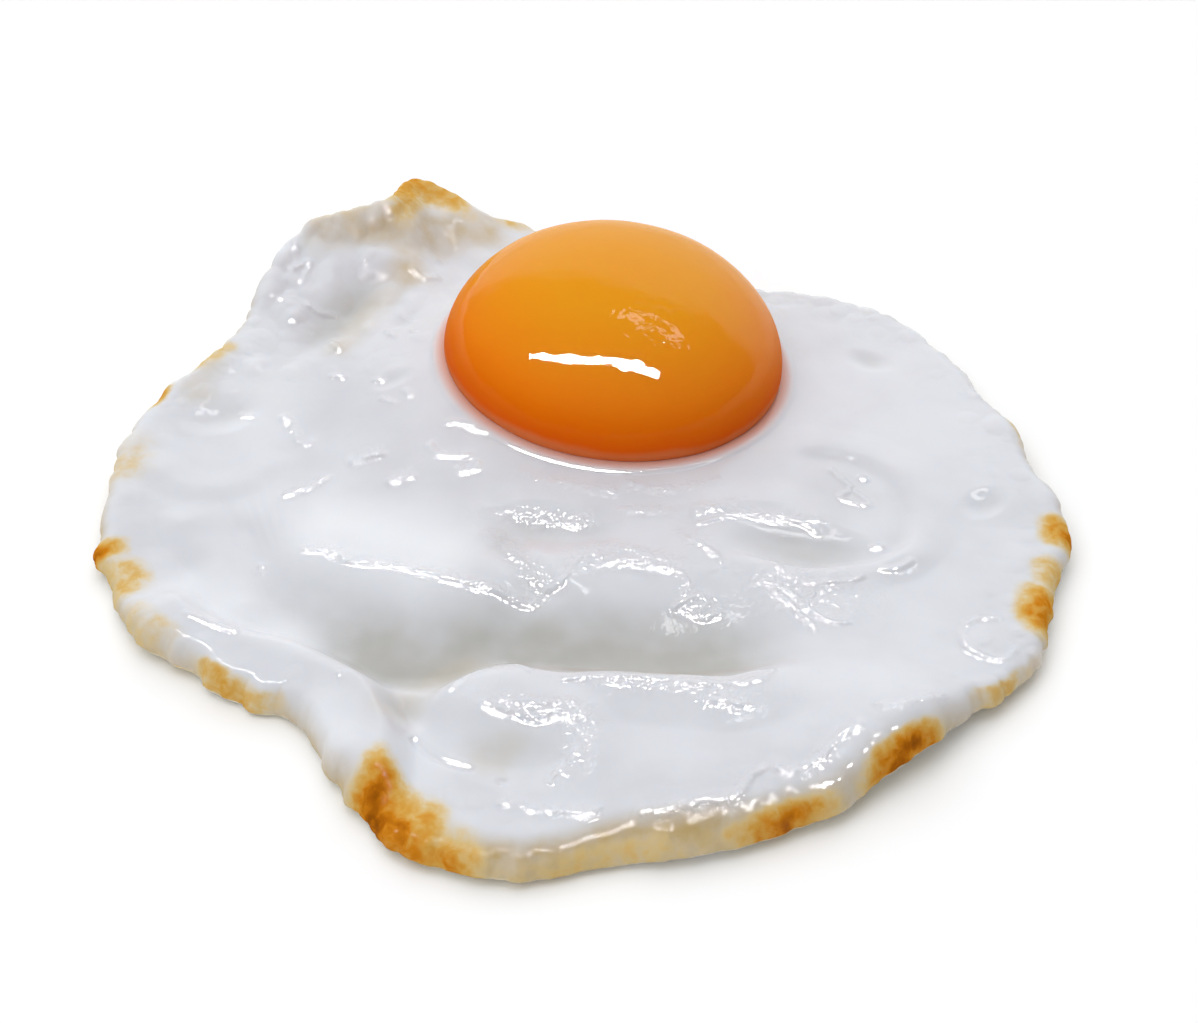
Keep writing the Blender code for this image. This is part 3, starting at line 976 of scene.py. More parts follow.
@dataclass
class WhiteSheet:
    """The cooked white: a thin sheet, thicker round the yolk, with its rim curled and blistered.

    Attributes:
        yolk: The yolk that it holds.
        radius: Mean radius of its outline.
        film: Thickness of the thin white near the edge.
        thinnest: Thickness that no valley goes below.
        softness: How gently a valley meets that.
        lip: Width of the rounded edge.
        lip_rings: Rings of the grid that go round the edge.
        middle_share: Where the edge's tip lies between the underside and the top.
        flat_share: Share of the radius inside which the underside lies flat.
        meniscus: Distance over which the white climbs to the yolk.
        contact: How far below the yolk's widest ring it meets it.
        ledge: Width of the nearly level ledge before the yolk.
        ledge_height: Height of the step from the ledge down to the rest.
        bleed: Distance over which the yolk's colour shows through the white.
        film_share: Share of a bead's height that lies in the wet film alone.
        dryness: How much of its wet film the driest edge has lost.
        top_cells: Cells across the top's grid.
        under_cells: Cells across the underside's grid, half as many.
        ledge_fall: Distance over which that step falls.
        seat_gap: Gap between the yolk and the white under it.
        least_film: Thickness that the fine relief never goes below.
        pit_spacing: Typical distance between the pits of the underside.
        pit_depth: Depth of a pit as wide as that spacing.
    """

    yolk: YolkForm
    radius: float = 56.8
    film: float = 2.3
    thinnest: float = 1.2
    softness: float = 0.9
    lip: float = 2.2
    lip_rings: int = 16
    middle_share: float = 0.22
    flat_share: float = 0.58
    meniscus: float = 4.2
    contact: float = 0.8
    ledge: float = 1.2
    ledge_height: float = 0.28
    bleed: float = 1.8
    film_share: float = 0.5
    dryness: float = 0.92
    top_cells: int = 440
    under_cells: int = 220
    ledge_fall: float = 0.65
    seat_gap: float = 0.35
    least_film: float = 0.12
    pit_spacing: float = 3.4
    pit_depth: float = 0.45

    def outline(self, bearing: Array) -> Array:
        """Returns the smooth outline's radius at each bearing."""
        waves = sum((r.reach * r.at(bearing) for r in RUFFLES), np.zeros_like(bearing))
        return self.radius + lobes(bearing, OUTLINE_LOBES) + waves

    def middle(self) -> tuple[float, float]:
        """Returns the middle of the outline's box, which is where the origin lies.

        Returns:
            Its place along X and along Y.
        """
        bearing = np.linspace(0.0, 360.0, 720, endpoint=False)
        radius = self.outline(bearing)
        x, y = radius * np.cos(np.radians(bearing)), radius * np.sin(np.radians(bearing))
        return float(x.max() + x.min()) / 2, float(y.max() + y.min()) / 2

    def crumb(self, bearing: Array) -> Array:
        """Returns how far the knobbly edge stands out from the smooth outline at each bearing.

        Args:
            bearing: Bearings from the middle.

        Returns:
            The distance at each bearing.
        """
        x = self.radius * np.cos(np.radians(bearing))
        y = self.radius * np.sin(np.radians(bearing))
        patchy = smooth_step(0.5 + Grain.waves(x, y, 17.0, 8))
        knobs = Grain.blisters(x, y, 3.6, 5, 0.5) * 1.5 * patchy
        return (knobs + 0.9 * Grain.layered(x, y, 4.5, 3, 4) - 0.4) * (1.0 + lobes(bearing, CRUMB_CHANGES))

    def underside(self, share: Array, bearing: Array) -> Array:
        """Returns the underside's height: flat in the middle, and curled up towards the edge.

        Args:
            share: Shares of the outline's radius.
            bearing: Bearings from the middle.

        Returns:
            The height at each place.
        """
        waves = sum((r.lift * r.at(bearing) for r in RUFFLES), np.zeros_like(bearing))
        curl = lobes(bearing, EDGE_LIFTS) + np.clip(waves + 0.3, 0.0, None)
        return curl * smooth_step((share - self.flat_share) / (1.0 - self.flat_share))

    def relief(self, x: Array, y: Array) -> tuple[Array, Array]:
        """Adds up the named forms.

        Args:
            x: Places along X.
            y: Places along Y.

        Returns:
            Their height, and the depth of the hollows among them.
        """
        forms = [form.at(x, y) for form in (*SWELLS, *FOLDS)]
        hollows = sum((-form for form in forms if form.min() < 0.0), np.zeros_like(x))
        return sum(forms, np.zeros_like(x)), hollows

    def soft_floor(self, thickness: Array) -> Array:
        """Keeps the white from growing thinner than its thinnest, with no corner where it would."""
        spare = thickness - self.thinnest
        return self.thinnest + 0.5 * (spare + np.sqrt(spare**2 + self.softness**2))

    def climb(self, x: Array, y: Array, height: Array) -> Array:
        """Raises the white where it climbs to the yolk, and sinks it under the yolk.

        Args:
            x: Places along X.
            y: Places along Y.
            height: The top's height without the yolk.

        Returns:
            The top's height with the yolk in it.
        """
        clear = self.yolk.clear_of(x, y)
        ring = self.yolk.ring_at(x, y)
        base = ring - self.contact - self.ledge_height
        height = height + (base - height) * np.exp(-np.clip(clear, 0.0, None) / self.meniscus)
        height = height + self.ledge_height * (1.0 - smooth_step((clear - self.ledge) / self.ledge_fall))
        share = np.clip(1.0 + clear / self.yolk.radius, 0.0, 1.0)
        bowl = ring - self.yolk.bowl * np.sqrt(1.0 - share**2) - self.seat_gap
        sink = smooth_step((-clear - 0.9) / 0.8)
        return height + (np.minimum(bowl, height) - height) * sink

    def fine_relief(self, x: Array, y: Array, inward: Array) -> Array:
        """Adds up the uneven relief too fine to name: ripples, wrinkles and blisters.

        Args:
            x: Places along X.
            y: Places along Y.
            inward: Distance in from the edge.

        Returns:
            How far each place stands out from the smooth surface.
        """
        rim = np.exp(-((inward / 6.0) ** 2))
        rough = np.clip(rim * (0.6 + 0.5 * Grain.waves(x, y, 13.0, 19)) + 0.8 * self.flap(x, y), 0.0, 1.0)
        ripple = 0.10 * Grain.waves(x, y, 9.0, 21) + 0.05 * Grain.waves(x, y, 4.0, 22)
        ripple += 0.30 * rough * Grain.layered(x, y, 5.0, 31, 3)
        domes = rough * (0.9 * Grain.blisters(x, y, 4.8, 41, 0.45) + 0.5 * Grain.blisters(x, y, 2.4, 51, 0.4))
        wrinkles = (0.35 * self.crumpled(x, y) + 0.05 * rough) * Grain.creases(x, y, 2.4, 61)
        wrinkles += (1.0 - self.film_share) * sum((bead.at(x, y) for bead in BEADS), np.zeros_like(x))
        calm = smooth_step((self.yolk.clear_of(x, y) - 0.6) / 3.0)
        return (ripple + domes + wrinkles) * calm

    def wet_film(self, x: Array, y: Array, inward: Array, lip: Array) -> dict[str, Array]:
        """Works out the film of moisture on the top.

        Args:
            x: Places along X.
            y: Places along Y.
            inward: Distance in from the edge.
            lip: Width of the rounded edge.

        Returns:
            The film's own relief in millimetres, how broken the skin under it is, and how wet it is.
        """
        relief = self.film_share * sum((bead.at(x, y) for bead in BEADS), np.zeros_like(x))
        skin = self.crumpled(x, y) / 0.3
        for bead in BEADS:
            skin = np.maximum(skin, bead.roughness_near(x, y))
        dry = np.exp(-((inward / (lip + 2.0)) ** 4)) * smooth_step(1.05 + 1.0 * Grain.waves(x, y, 7.0, 91))
        bare = (1.0 - self.dryness * dry) * (1.0 - self.flap(x, y)) ** 1.1
        return {
            "film": relief,
            "skin": np.clip(skin, 0.0, 1.0),
            "wet": np.clip(bare + np.abs(relief) / 0.12, 0.0, 1.0),
        }

    def pits(self, x: Array, y: Array, inward: Array) -> Array:
        """Returns the depth of the small pits that steam left in the underside, none at its rim."""
        inside = smooth_step(inward / self.pit_spacing)
        return self.pit_depth * Grain.blisters(x, y, self.pit_spacing, 101) * inside

    @staticmethod
    def flap(x: Array, y: Array) -> Array:
        """Returns how far each place belongs to the crumpled corner flap, from 0 to 1."""
        return np.exp(-(((x + 31) / 15) ** 2) - (((y - 41) / 18) ** 2))

    @staticmethod
    def crumpled(x: Array, y: Array) -> Array:
        """Returns the depth of the fine wrinkles at each place."""
        return sum((patch.at(x, y) for patch in CRUMPLES), np.zeros_like(x))

    def layer(self, grid: DiscGrid, side: Side) -> tuple[Array, dict[str, Array]]:
        """Places one grid's points on the top or the underside.

        Args:
            grid: The grid.
            side: Which face it becomes.

        Returns:
            The points, in millimetres, and their shades.
        """
        unit, bearing = grid.unit()
        rings = grid.cells / 2
        over = side is Side.TOP
        lip_rings = self.lip_rings if over else self.lip_rings / 2
        steps = unit * rings
        radius = self.outline(bearing) + self.crumb(bearing) * smooth_step((unit - 0.8) / 0.2)
        lip = self.lip + lobes(bearing, LIP_WIDENINGS)
        lip_share = 1.0 - lip / radius
        turn = np.clip((steps - rings + lip_rings) / lip_rings, 0.0, 1.0) * math.pi / 2
        share = np.clip(steps / (rings - lip_rings), 0.0, 1.0) * lip_share + (1.0 - lip_share) * np.sin(turn)
        middle_x, middle_y = self.middle()
        x = share * radius * np.cos(np.radians(bearing)) - middle_x
        y = share * radius * np.sin(np.radians(bearing)) - middle_y
        inward = radius * (1.0 - share)
        low = self.underside(share, bearing)
        forms, hollows = self.relief(x, y)
        beyond_flat = smooth_step((share - self.flat_share) / (1.0 - self.flat_share))
        rim = lobes(bearing, RIM_THICKENINGS) * beyond_flat
        high = self.climb(x, y, low + self.soft_floor(self.film + rim + forms))
        tip = low + self.middle_share * (high - low)
        z = tip + np.where(over, high - tip, low - tip) * np.cos(turn)
        places = np.stack([x, y, z], -1)
        if over:
            along = np.gradient(places, axis=0)
            across = np.gradient(places, axis=1)
            normal = np.cross(along, across)
            normal /= np.linalg.norm(normal, axis=-1, keepdims=True)
            places = places + normal * self.fine_relief(x, y, inward)[..., None]
            places[..., 2] = np.maximum(places[..., 2], low + self.least_film)
        else:
            places[..., 2] += self.pits(x, y, inward)
        wall = turn / (math.pi / 2) if over else np.ones_like(x)
        toast = np.zeros_like(x)
        ragged = inward + 0.9 * Grain.layered(x, y, 4.0, 95, 3)
        for stretch in TOASTS:
            toast = np.maximum(toast, stretch.at(bearing, ragged, wall))
        bare = {name: np.zeros_like(x) for name in ("film", "skin", "wet")}
        shades = {
            **(self.wet_film(x, y, inward, lip) if over else bare),
            "toast": toast,
            # depth of the hollows, which the finish paints as shade
            "hollow": np.clip(hollows / 2.2, 0.0, 1.0),
            # beige bands, partly painted shade
            "stain_and_shade": np.clip(sum((stain_and_shade.at(x, y) for stain_and_shade in STAINS_AND_SHADES), np.zeros_like(x)), 0.0, 1.0),
            # where the finish paints the white brighter, partly painted light
            "thick_and_lit": np.clip(sum((thick_and_lit.at(x, y) for thick_and_lit in THICK_AND_LIT_BANDS), np.zeros_like(x)), 0.0, 1.0),
            "bleed": 1.0 - smooth_step(self.yolk.clear_of(x, y) / self.bleed),
            # how far down the wall each place lies, which the finish paints khaki, partly as shade
            "wall": wall * (0.4 + lobes(bearing, WALL_TINTS)),
            "under": np.zeros_like(x) if over else np.ones_like(x),
        }
        return places.reshape(-1, 3), {name: values.ravel() for name, values in shades.items()}

    def piece(self) -> bpy.types.Object:
        """Makes the closed mesh of the white.

        Returns:
            The new object.
        """
        top, under = DiscGrid(self.top_cells), DiscGrid(self.under_cells)
        patch = Patch()
        places, shades = self.layer(top, Side.TOP)
        patch.add(places, [top.faces()], **shades)
        first = len(places)
        places, shades = self.layer(under, Side.UNDER)
        patch.add(places, [under.faces(first, flip=True), *self.hem(top.rim(), under.rim(first))], **shades)
        return patch.piece("egg_white")

    @staticmethod
    def hem(fine: Array, coarse: Array) -> list[Array]:
        """Joins the top's rim to the underside's, which has half as many points.

        Args:
            fine: The top's rim points.
            coarse: The underside's rim points.

        Returns:
            Arrays of triangles.
        """
        after = np.roll(coarse, -1)
        first, second, third = fine[0::2], fine[1::2], np.roll(fine, -2)[0::2]
        return [
            np.stack([first, coarse, second], -1),
            np.stack([second, coarse, after], -1),
            np.stack([second, after, third], -1),
        ]


@dataclass
class YolkDome:
    """The yolk: a smooth, slightly uneven dome under a wet film.

    Attributes:
        form: Its place and true shape.
        segments: Points round it.
        rings: Rings from its crown to its underside.
        sway: How far its surface wanders from a true ellipsoid.
        scuff: Direction from its middle to a patch where its film has wrinkled.
        scuff_size: Radius of that patch, as a share of the yolk's.
    """

    form: YolkForm
    segments: int = 160
    rings: int = 80
    sway: float = 0.10
    scuff: tuple[float, float, float] = (0.17, -0.49, 0.85)
    scuff_size: float = 0.19

    def piece(self) -> bpy.types.Object:
        """Makes the closed mesh of the yolk.

        Returns:
            The new object.
        """
        bm = bmesh.new()
        bmesh.ops.create_uvsphere(bm, u_segments=self.segments, v_segments=self.rings, radius=1)
        unit = np.array([v.co for v in bm.verts])
        faces = [[v.index for v in face.verts] for face in bm.faces]
        bm.free()
        depth = np.where(unit[:, 2] > 0, self.form.dome, self.form.bowl)
        sway = self.sway * Grain.layered(unit[:, 0] * 21 + unit[:, 2] * 9, unit[:, 1] * 21, 11.0, 81, 2)
        size = np.stack([np.full_like(depth, self.form.radius)] * 2 + [depth], 1) + sway[:, None]
        turned = (unit * size) @ np.array(self.form.rotation()).T
        patch = Patch()
        places = turned + [self.form.x, self.form.y, self.form.ring_height]
        off = np.linalg.norm(unit - np.array(self.scuff), axis=1)
        patch.add(
            places,
            [faces],
            crown=np.clip(unit[:, 2], 0.0, 1.0),
            front=0.5 - 0.5 * unit[:, 1],
            scuff=np.exp(-((off / self.scuff_size) ** 2)),
        )
        return patch.piece("egg_yolk")


class Sheen:
    """A material's node tree, with short ways to add nodes and to feed its shader."""

    def __init__(self, name: str) -> None:
        """Starts a material with one Principled shader.

        Args:
            name: The material's name.
        """
        self.material = bpy.data.materials.new(name)
        self.material.use_nodes = True
        self.tree = self.material.node_tree
        self.shader = self.tree.nodes["Principled BSDF"]

    def set(self, **values: float | Colour) -> None:
        """Sets the shader's own sockets: base_color=... sets Base Color."""
        for name, value in values.items():
            self.shader.inputs[name.replace("_", " ").title().replace("Ior", "IOR")].default_value = value

    def feed(self, socket: str, source: bpy.types.NodeSocket) -> None:
        """Joins a node's output to one of the shader's sockets."""
        self.tree.links.new(source, self.shader.inputs[socket])

    def node(self, kind: str, **settings: object) -> bpy.types.Node:
        """Adds a node and sets its properties.

        Args:
            kind: The node's type.
            **settings: Properties to set on it.

        Returns:
            The new node.
        """
        made = self.tree.nodes.new(kind)
        for name, value in settings.items():
            setattr(made, name, value)
        return made

    def plug(self, socket: bpy.types.NodeSocket, value: bpy.types.NodeSocket | float | Colour) -> None:
        """Joins a source to a socket, or sets the socket if the source is a plain value.

        Args:
            socket: The socket to feed.
            value: A node's output, or a plain value.
        """
        if isinstance(value, bpy.types.NodeSocket):
            self.tree.links.new(value, socket)
        else:
            socket.default_value = value

    def shade(self, name: str) -> bpy.types.NodeSocket:
        """Returns one of the mesh's shades."""
        return self.node("ShaderNodeAttribute", attribute_name=name).outputs["Fac"]

    def noise(self, size: float, detail: float = 2.0, distortion: float = 0.0) -> bpy.types.NodeSocket:
        """Returns a noise pattern from 0 to 1.

        Args:
            size: Its largest bumps, in millimetres.
            detail: Its finer layers.
            distortion: How much it swirls.

        Returns:
            The pattern's output.
        """
        made = self.node("ShaderNodeTexNoise")
        made.inputs["Scale"].default_value = 1.0 / (size * MM)
        made.inputs["Detail"].default_value = detail
        made.inputs["Distortion"].default_value = distortion
        place = self.node("ShaderNodeTexCoord").outputs["Object"]
        self.tree.links.new(place, made.inputs["Vector"])
        return made.outputs["Fac"]

    def sum(self, operation: str, first: object, second: object, clamp: bool = False) -> bpy.types.NodeSocket:
        """Returns the result of one sum on two values, such as ADD or MULTIPLY.

        Args:
            operation: Which sum, in the shader's own word.
            first: The first value.
            second: The second value.
            clamp: Whether the result stays from 0 to 1.

        Returns:
            The node's output.
        """
        made = self.node("ShaderNodeMath", operation=operation, use_clamp=clamp)
        self.plug(made.inputs[0], first)
        self.plug(made.inputs[1], second)
        return made.outputs[0]

    def range(
        self,
        value: bpy.types.NodeSocket,
        low: float,
        high: float,
        to_low: float = 0.0,
        to_high: float = 1.0,
    ) -> bpy.types.NodeSocket:
        """Stretches values to another range, with eased ends that hold.

        Args:
            value: The values.
            low: The value that becomes to_low.
            high: The value that becomes to_high.
            to_low: What low becomes.
            to_high: What high becomes.

        Returns:
            The stretched values' output.
        """
        made = self.node("ShaderNodeMapRange", interpolation_type="SMOOTHSTEP")
        self.plug(made.inputs["Value"], value)
        made.inputs["From Min"].default_value = low
        made.inputs["From Max"].default_value = high
        made.inputs["To Min"].default_value = to_low
        made.inputs["To Max"].default_value = to_high
        return made.outputs["Result"]

    def ramp(self, value: bpy.types.NodeSocket, stops: tuple[tuple[float, int], ...]) -> bpy.types.NodeSocket:
        """Turns a value into a colour.

        Args:
            value: The value, from 0 to 1.
            stops: Pairs of a value and its screen colour, in order.

        Returns:
            The colour's output.
        """
        made = self.node("ShaderNodeValToRGB")
        for index, (place, code) in enumerate(stops):
            stop = made.color_ramp.elements[index] if index < 2 else made.color_ramp.elements.new(place)
            stop.position = place
            stop.color = paint(code)
        self.plug(made.inputs["Fac"], value)
        return made.outputs["Color"]

    def mix(self, factor: object, first: object, second: object, blend: str = "MIX") -> bpy.types.NodeSocket:
        """Returns two colours mixed by a factor.

        Args:
            factor: Share of the second colour.
            first: The first colour.
            second: The second colour.
            blend: How they mix.

        Returns:
            The colour's output.
        """
        made = self.node("ShaderNodeMix", data_type="RGBA", blend_type=blend)
        self.plug(made.inputs["Factor"], factor)
        self.plug(made.inputs["A"], first)
        self.plug(made.inputs["B"], second)
        return made.outputs["Result"]

    def bump(
        self, height: bpy.types.NodeSocket, depth: float, under: bpy.types.NodeSocket | None = None
    ) -> bpy.types.NodeSocket:
        """Returns a normal roughened by a height pattern.

        Args:
            height: The pattern, from 0 to 1.
            depth: How deep 0 to 1 is, in millimetres.
            under: A normal that was roughened before.

        Returns:
            The normal's output.
        """
        made = self.node("ShaderNodeBump")
        made.inputs["Distance"].default_value = depth * MM
        self.plug(made.inputs["Height"], height)
        if under is not None:
            self.plug(made.inputs["Normal"], under)
        return made.outputs["Normal"]


@dataclass(frozen=True)
class CookedWhiteFinish:
    """Set white under a wet film, browned along its edge, greyish in its hollows, partly as thin white is and
    partly as painted shade, and painted brighter where thickest.
    """

    clean: int = 0xD8DADF
    # brighter white for the thickest stretches: partly own tone, partly painted light
    thick_and_lit: int = 0xE4E6EA
    cloud: int = 0xD3D4D9
    # warm grey for the hollows: partly thin white's own tone, partly painted shade
    thin_and_shaded: int = 0xABA9A2
    bleed: int = 0xD98A66
    # warm beige of the bands: partly own tone, partly painted shade
    stain_and_shade: int = 0xC6B79C
    # khaki of the wall under the rim: partly pan browning, partly painted shade
    pan_side_and_shade: int = 0xBBA26E
    toasted: tuple[tuple[float, int], ...] = (
        (0.0, 0xDCD2BC), (0.25, 0xD8BE86), (0.45, 0xD2A04A),
        (0.65, 0xCA7E1A), (0.82, 0xAC620E), (1.0, 0x8C4E0A),
    )
    lace: tuple[tuple[float, int], ...] = (
        (0.36, 0xE6E0D2), (0.56, 0xDFD0AC), (0.68, 0xCDA866), (0.80, 0xAC7836),
    )

    def material(self) -> bpy.types.Material:
        """Builds the material.

        Returns:
            The new material.
        """
        sheen = Sheen("cooked white")
        cloudy = sheen.range(sheen.noise(9.0, 3.0), 0.3, 0.7)
        white = sheen.mix(cloudy, paint(self.clean), paint(self.cloud))
        # Partly painted light: the thickest stretches are mixed towards a brighter white.
        white = sheen.mix(sheen.shade("thick_and_lit"), white, paint(self.thick_and_lit))
        # Painted shade: the hollows are mixed towards warm grey by their depth, on top of the thin white's
        # own greyer tone.
        hollow_shade = sheen.sum("MULTIPLY", sheen.shade("hollow"), sheen.range(sheen.noise(6.0), 0.2, 0.8, 0.6, 1.0))
        white = sheen.mix(sheen.range(hollow_shade, 0.0, 0.7, 0.0, 0.9), white, paint(self.thin_and_shaded))
        # Partly painted shade: the bands under the flap's crest and in the creases are mixed towards warm
        # beige.
        cloudy_stain_and_shade = sheen.range(sheen.noise(3.5, 3.0), 0.3, 0.7, 0.45, 1.0)
        tint = sheen.sum("MULTIPLY", sheen.shade("stain_and_shade"), cloudy_stain_and_shade)
        white = sheen.mix(tint, white, paint(self.stain_and_shade))
        # Partly painted shade: the wall under the rim is mixed towards khaki, more further down it.
        mottled = sheen.range(sheen.noise(3.0, 3.0), 0.3, 0.7, 0.7, 1.1)
        wall = sheen.sum("MULTIPLY", sheen.range(sheen.shade("wall"), 0.05, 0.60, 0.0, 0.9), mottled)
        white = sheen.mix(wall, white, paint(self.pan_side_and_shade))
        white = sheen.mix(sheen.sum("MULTIPLY", sheen.shade("bleed"), 0.75), white, paint(self.bleed))
        patchy = sheen.range(sheen.noise(5.0, 3.0, 0.3), 0.25, 0.75, 0.65, 1.25)
        speckled = sheen.range(sheen.noise(1.4, 3.0, 0.4), 0.3, 0.7, 0.78, 1.15)
        toast = sheen.sum("MULTIPLY", sheen.sum("MULTIPLY", sheen.shade("toast"), patchy), speckled)
        toasted = sheen.ramp(toast, self.toasted)
        edge = sheen.range(sheen.shade("toast"), 0.02, 0.22)
        cover = sheen.sum("MULTIPLY", edge, sheen.range(toast, 0.02, 0.34))
        colour = sheen.mix(cover, white, toasted)
        lace = sheen.ramp(sheen.noise(9.0, 5.0, 0.25), self.lace)
        sheen.feed("Base Color", sheen.mix(sheen.shade("under"), colour, lace))
        sheen.feed("Subsurface Weight", sheen.range(cover, 0.0, 1.0, 0.5, 0.1))
        moist = sheen.sum("MULTIPLY", sheen.shade("wet"), sheen.range(cover, 0.0, 1.0, 0.65, 0.12))
        sheen.feed("Coat Weight", moist)
        sheen.set(roughness=0.5, specular_ior_level=0.0, subsurface_scale=0.0025, ior=1.38)
        sheen.set(coat_roughness=0.05, coat_ior=1.7)
        sheen.shader.inputs["Subsurface Radius"].default_value = (1.0, 0.8, 0.65)
        grainy = sheen.range(sheen.shade("skin"), 0.0, 1.0, 0.04, 1.0)
        skin = sheen.sum("MULTIPLY", grainy, sheen.noise(0.8, 0.8, 0.8))
        for socket, share in (("Coat Normal", 1.0), ("Normal", 0.33)):
            sheen.feed(socket, sheen.bump(skin, 0.45 * share, sheen.bump(sheen.shade("film"), share)))
        return sheen.material


@dataclass(frozen=True)
class YolkFinish:
    """Deep orange at the foot, lighter towards the crown, under a wet film, the gradient and the yellower
    back being painted light and shade.
    """

    # From the pinkish film at the edge up to the crown; the deeper foot and lighter crown are painted shade
    # and light.
    skirt: int = 0xD8703C
    foot: int = 0xDE5A00
    flank: int = 0xEA7E00
    crown: int = 0xE4940A
    # yellower tone of the back, painted haze
    back: int = 0xE0930C

    def material(self) -> bpy.types.Material:
        """Builds the material.

        Returns:
            The new material.
        """
        sheen = Sheen("yolk")
        uneven = sheen.sum("MULTIPLY", sheen.sum("SUBTRACT", sheen.noise(8.0, 2.0), 0.5), 0.12)
        tone = sheen.sum("ADD", sheen.shade("crown"), uneven, True)
        # Painted light and shade: the colour runs from deep orange at the foot to lighter at the crown.
        stops = ((0.0, self.skirt), (0.06, self.foot), (0.45, self.flank), (0.9, self.crown))
        # Painted light: the back is mixed towards a yellower tone that stands in for the haze reflected on
        # top.
        haze_share = sheen.range(sheen.shade("front"), 0.62, 0.1)
        colour = sheen.mix(haze_share, sheen.ramp(tone, stops), paint(self.back))
        sheen.feed("Base Color", colour)
        sheen.set(roughness=0.5, specular_ior_level=0.0, ior=1.38)
        sheen.set(subsurface_weight=0.25, subsurface_scale=0.003)
        sheen.feed("Coat Weight", sheen.range(sheen.shade("crown"), 0.15, 0.6, 0.08, 0.42))
        sheen.set(coat_roughness=0.035, coat_ior=1.7)
        sheen.shader.inputs["Subsurface Radius"].default_value = (1.0, 0.45, 0.1)
        wrinkled = sheen.sum("MULTIPLY", sheen.shade("scuff"), sheen.noise(1.5, 1.0, 0.6))
        for socket, share in (("Coat Normal", 1.0), ("Normal", 0.2)):
            swayed = sheen.bump(sheen.noise(3.0, 1.0), 0.10 * share)
            sheen.feed(socket, sheen.bump(wrinkled, 0.22 * share, swayed))
        return sheen.material


@dataclass(frozen=True)
class FloorFinish:
    """Plain, pale and matt."""

    colour: int = 0xFAFAFA

    def material(self) -> bpy.types.Material:
        """Builds the material.

        Returns:
            The new material.
        """
        sheen = Sheen("floor")
        sheen.set(base_color=paint(self.colour), roughness=0.9, specular_ior_level=0.1)
        return sheen.material


class Shows(Enum):
    """What a lamp lights: reflections in the wet film alone, or everything but those."""

    GLINT = "glint"
    FILL = "fill"


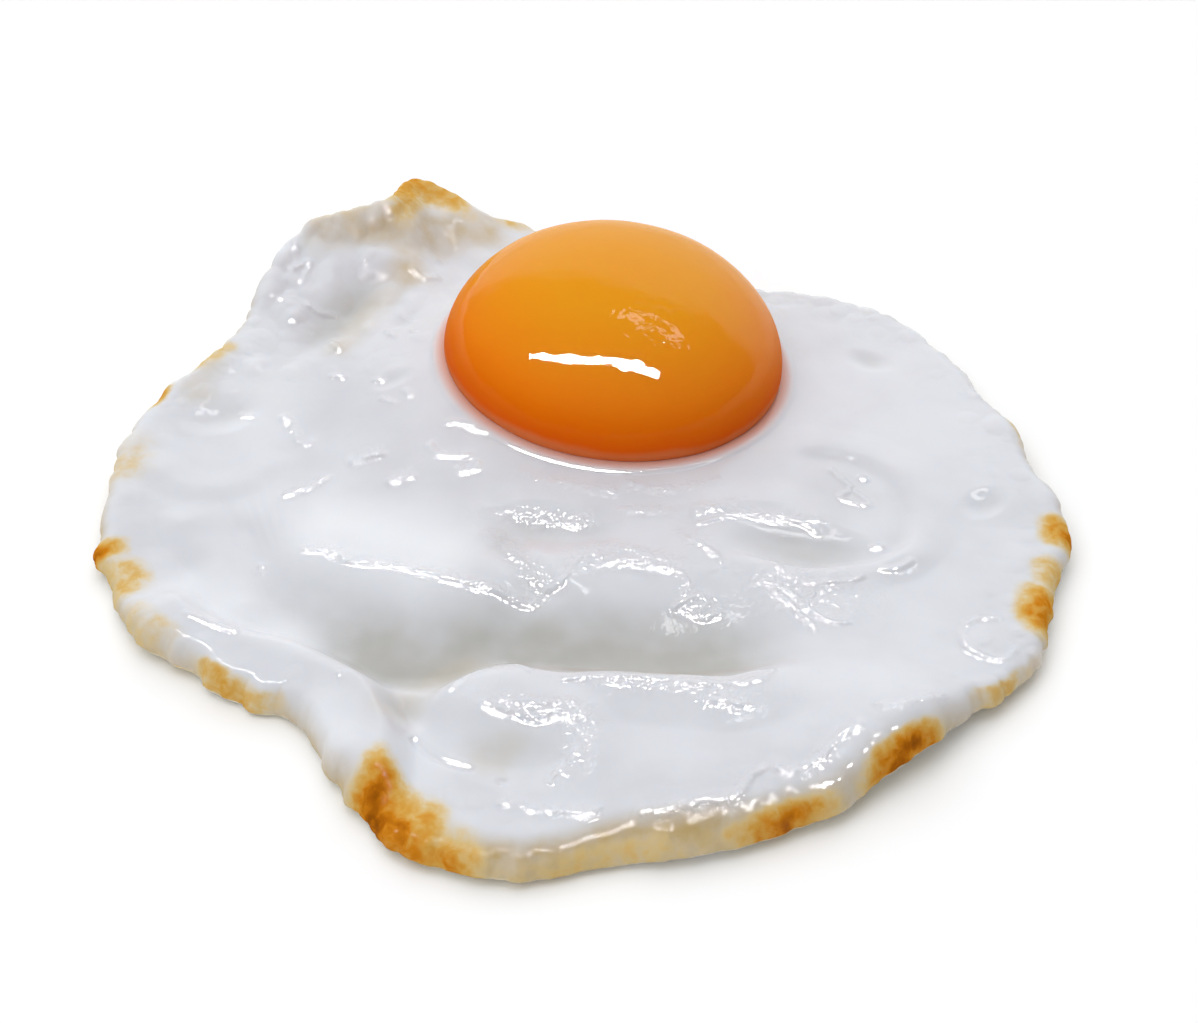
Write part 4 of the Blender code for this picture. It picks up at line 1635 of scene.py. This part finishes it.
@dataclass
class Studio:
    """The pale floor, the room, the lights and the camera.

    Attributes:
        camera_pitch: Degrees that the camera looks down.
        camera_reach: Its distance from the point it aims at, in metres.
        lens: Its focal length, in millimetres.
        aim: The point it aims at, in metres.
        room_lean: How much brighter the room is on the right.
        room_sway: How uneven its light is.
    """

    camera_pitch: float = 40.0
    camera_reach: float = 0.336
    lens: float = 85.0
    aim: tuple[float, float, float] = (0.0019, -0.0029, 0.0029)
    room_lean: float = 0.28
    room_sway: float = 0.16

    def floor(self) -> bpy.types.Object:
        """Lays the floor.

        Returns:
            The floor.
        """
        mesh = bpy.data.meshes.new("floor")
        half = 3.0
        corners = [(-half, -half, 0), (half, -half, 0), (half, half, 0), (-half, half, 0)]
        mesh.from_pydata(corners, [], [(0, 1, 2, 3)])
        made = bpy.data.objects.new("floor", mesh)
        bpy.context.scene.collection.objects.link(made)
        mesh.materials.append(FloorFinish().material())
        return made

    def lamp(
        self,
        name: str,
        place: tuple[float, float, float],
        along: tuple[float, float, float],
        size: tuple[float, float],
        radiance: float,
        shows: Shows,
    ) -> bpy.types.Object:
        """Hangs a flat lamp that faces the egg.

        Args:
            name: Its name.
            place: Its middle, in metres.
            along: The direction of its length.
            size: Its length and width, in metres.
            radiance: How bright its face is.
            shows: What it lights.

        Returns:
            The lamp.
        """
        lamp = bpy.data.lights.new(name, "AREA")
        lamp.shape = "RECTANGLE"
        lamp.size, lamp.size_y = size
        lamp.energy = radiance * size[0] * size[1] * math.pi
        made = bpy.data.objects.new(name, lamp)
        back = Vector(place).normalized()
        side = Vector(along)
        side = (side - side.dot(back) * back).normalized()
        turn = Matrix((side, back.cross(side), back)).transposed().to_4x4()
        made.matrix_world = Matrix.Translation(place) @ turn
        made.visible_diffuse = shows is Shows.FILL
        made.visible_glossy = shows is Shows.GLINT
        bpy.context.scene.collection.objects.link(made)
        return made

    def room(self) -> None:
        """Sets up a pale room that is darker low down, and uneven, so that reflections in the film vary."""
        world = bpy.data.worlds.new("room")
        bpy.context.scene.world = world
        world.use_nodes = True
        tree = world.node_tree
        facing = tree.nodes.new("ShaderNodeSeparateXYZ")
        place = tree.nodes.new("ShaderNodeTexCoord").outputs["Generated"]
        tree.links.new(place, facing.inputs[0])
        uneven = tree.nodes.new("ShaderNodeTexNoise")
        uneven.inputs["Scale"].default_value = 3.0
        tree.links.new(place, uneven.inputs["Vector"])
        leaning = self.added(tree, facing.outputs["X"], self.room_lean, facing.outputs["Y"])
        swayed = self.added(tree, uneven.outputs["Fac"], self.room_sway, leaning)
        glow = tree.nodes.new("ShaderNodeMapRange")
        glow.interpolation_type = "SMOOTHSTEP"
        for name, value in (("From Min", 0.64), ("From Max", 0.82), ("To Min", 0.28), ("To Max", 1.0)):
            glow.inputs[name].default_value = value
        tree.links.new(swayed, glow.inputs["Value"])
        background = tree.nodes["Background"]
        background.inputs["Color"].default_value = (0.95, 0.97, 1.0, 1.0)
        tree.links.new(glow.outputs["Result"], background.inputs["Strength"])

    @staticmethod
    def added(
        tree: bpy.types.NodeTree, first: bpy.types.NodeSocket, share: float, second: bpy.types.NodeSocket
    ) -> bpy.types.NodeSocket:
        """Returns a share of the first value added to the second.

        Args:
            tree: The room's nodes.
            first: The value that is scaled.
            share: What it is multiplied by.
            second: The value that it is added to.

        Returns:
            The result's output.
        """
        made = tree.nodes.new("ShaderNodeMath")
        made.operation = "MULTIPLY_ADD"
        made.inputs[1].default_value = share
        tree.links.new(first, made.inputs[0])
        tree.links.new(second, made.inputs[2])
        return made.outputs[0]

    def lights(self) -> None:
        """Hangs two tubes that show as glints alone, and two soft boxes that light all but the glints."""
        self.lamp("overhead tube", (-0.075, -0.19, 0.8), (1.53, -0.30, 0), (1.2, 0.11), 90.0, Shows.GLINT)
        self.lamp("soft box", (-0.12, 0.38, 1.15), (1, 0, 0), (1.7, 1.7), 1.40, Shows.FILL)
        self.lamp("front fill", (-0.50, -0.75, 0.95), (1, 0, 0), (1.2, 1.2), 1.38, Shows.FILL)
        self.lamp("second tube", (0.32, 0.22, 0.8), (0.8, -0.2, 0), (0.55, 0.10), 4.5, Shows.GLINT)

    def camera(self) -> bpy.types.Object:
        """Sets up the camera.

        Returns:
            The camera.
        """
        pitch = math.radians(self.camera_pitch)
        back = Vector((0.0, -math.cos(pitch), math.sin(pitch)))
        lens = bpy.data.cameras.new("camera")
        lens.lens = self.lens
        lens.sensor_width = 36.0
        lens.clip_start = 0.01
        made = bpy.data.objects.new("camera", lens)
        made.location = Vector(self.aim) + back * self.camera_reach
        made.rotation_euler = back.to_track_quat("Z", "Y").to_euler()
        bpy.context.scene.collection.objects.link(made)
        bpy.context.scene.camera = made
        return made


def main() -> None:
    """Builds every piece, dresses it, and reports it."""
    logging.basicConfig(level=logging.INFO, format="%(name)s: %(message)s")
    form = YolkForm()
    dressed = (
        (WhiteSheet(form), CookedWhiteFinish(), "white", "cooked_white"),
        (YolkDome(form), YolkFinish(), "yolk", "yolk"),
    )
    for maker, finish, node, slot in dressed:
        piece = maker.piece()
        piece.data.materials.append(finish.material())
        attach(piece, "root")
        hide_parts(node)
        log.info("%s: %d points", piece.name, len(piece.data.vertices))
    studio = Studio()
    studio.floor()
    studio.room()
    studio.lights()
    studio.camera()
    bpy.context.scene.view_settings.view_transform = "Standard"


if __name__ == "__main__":
    main()
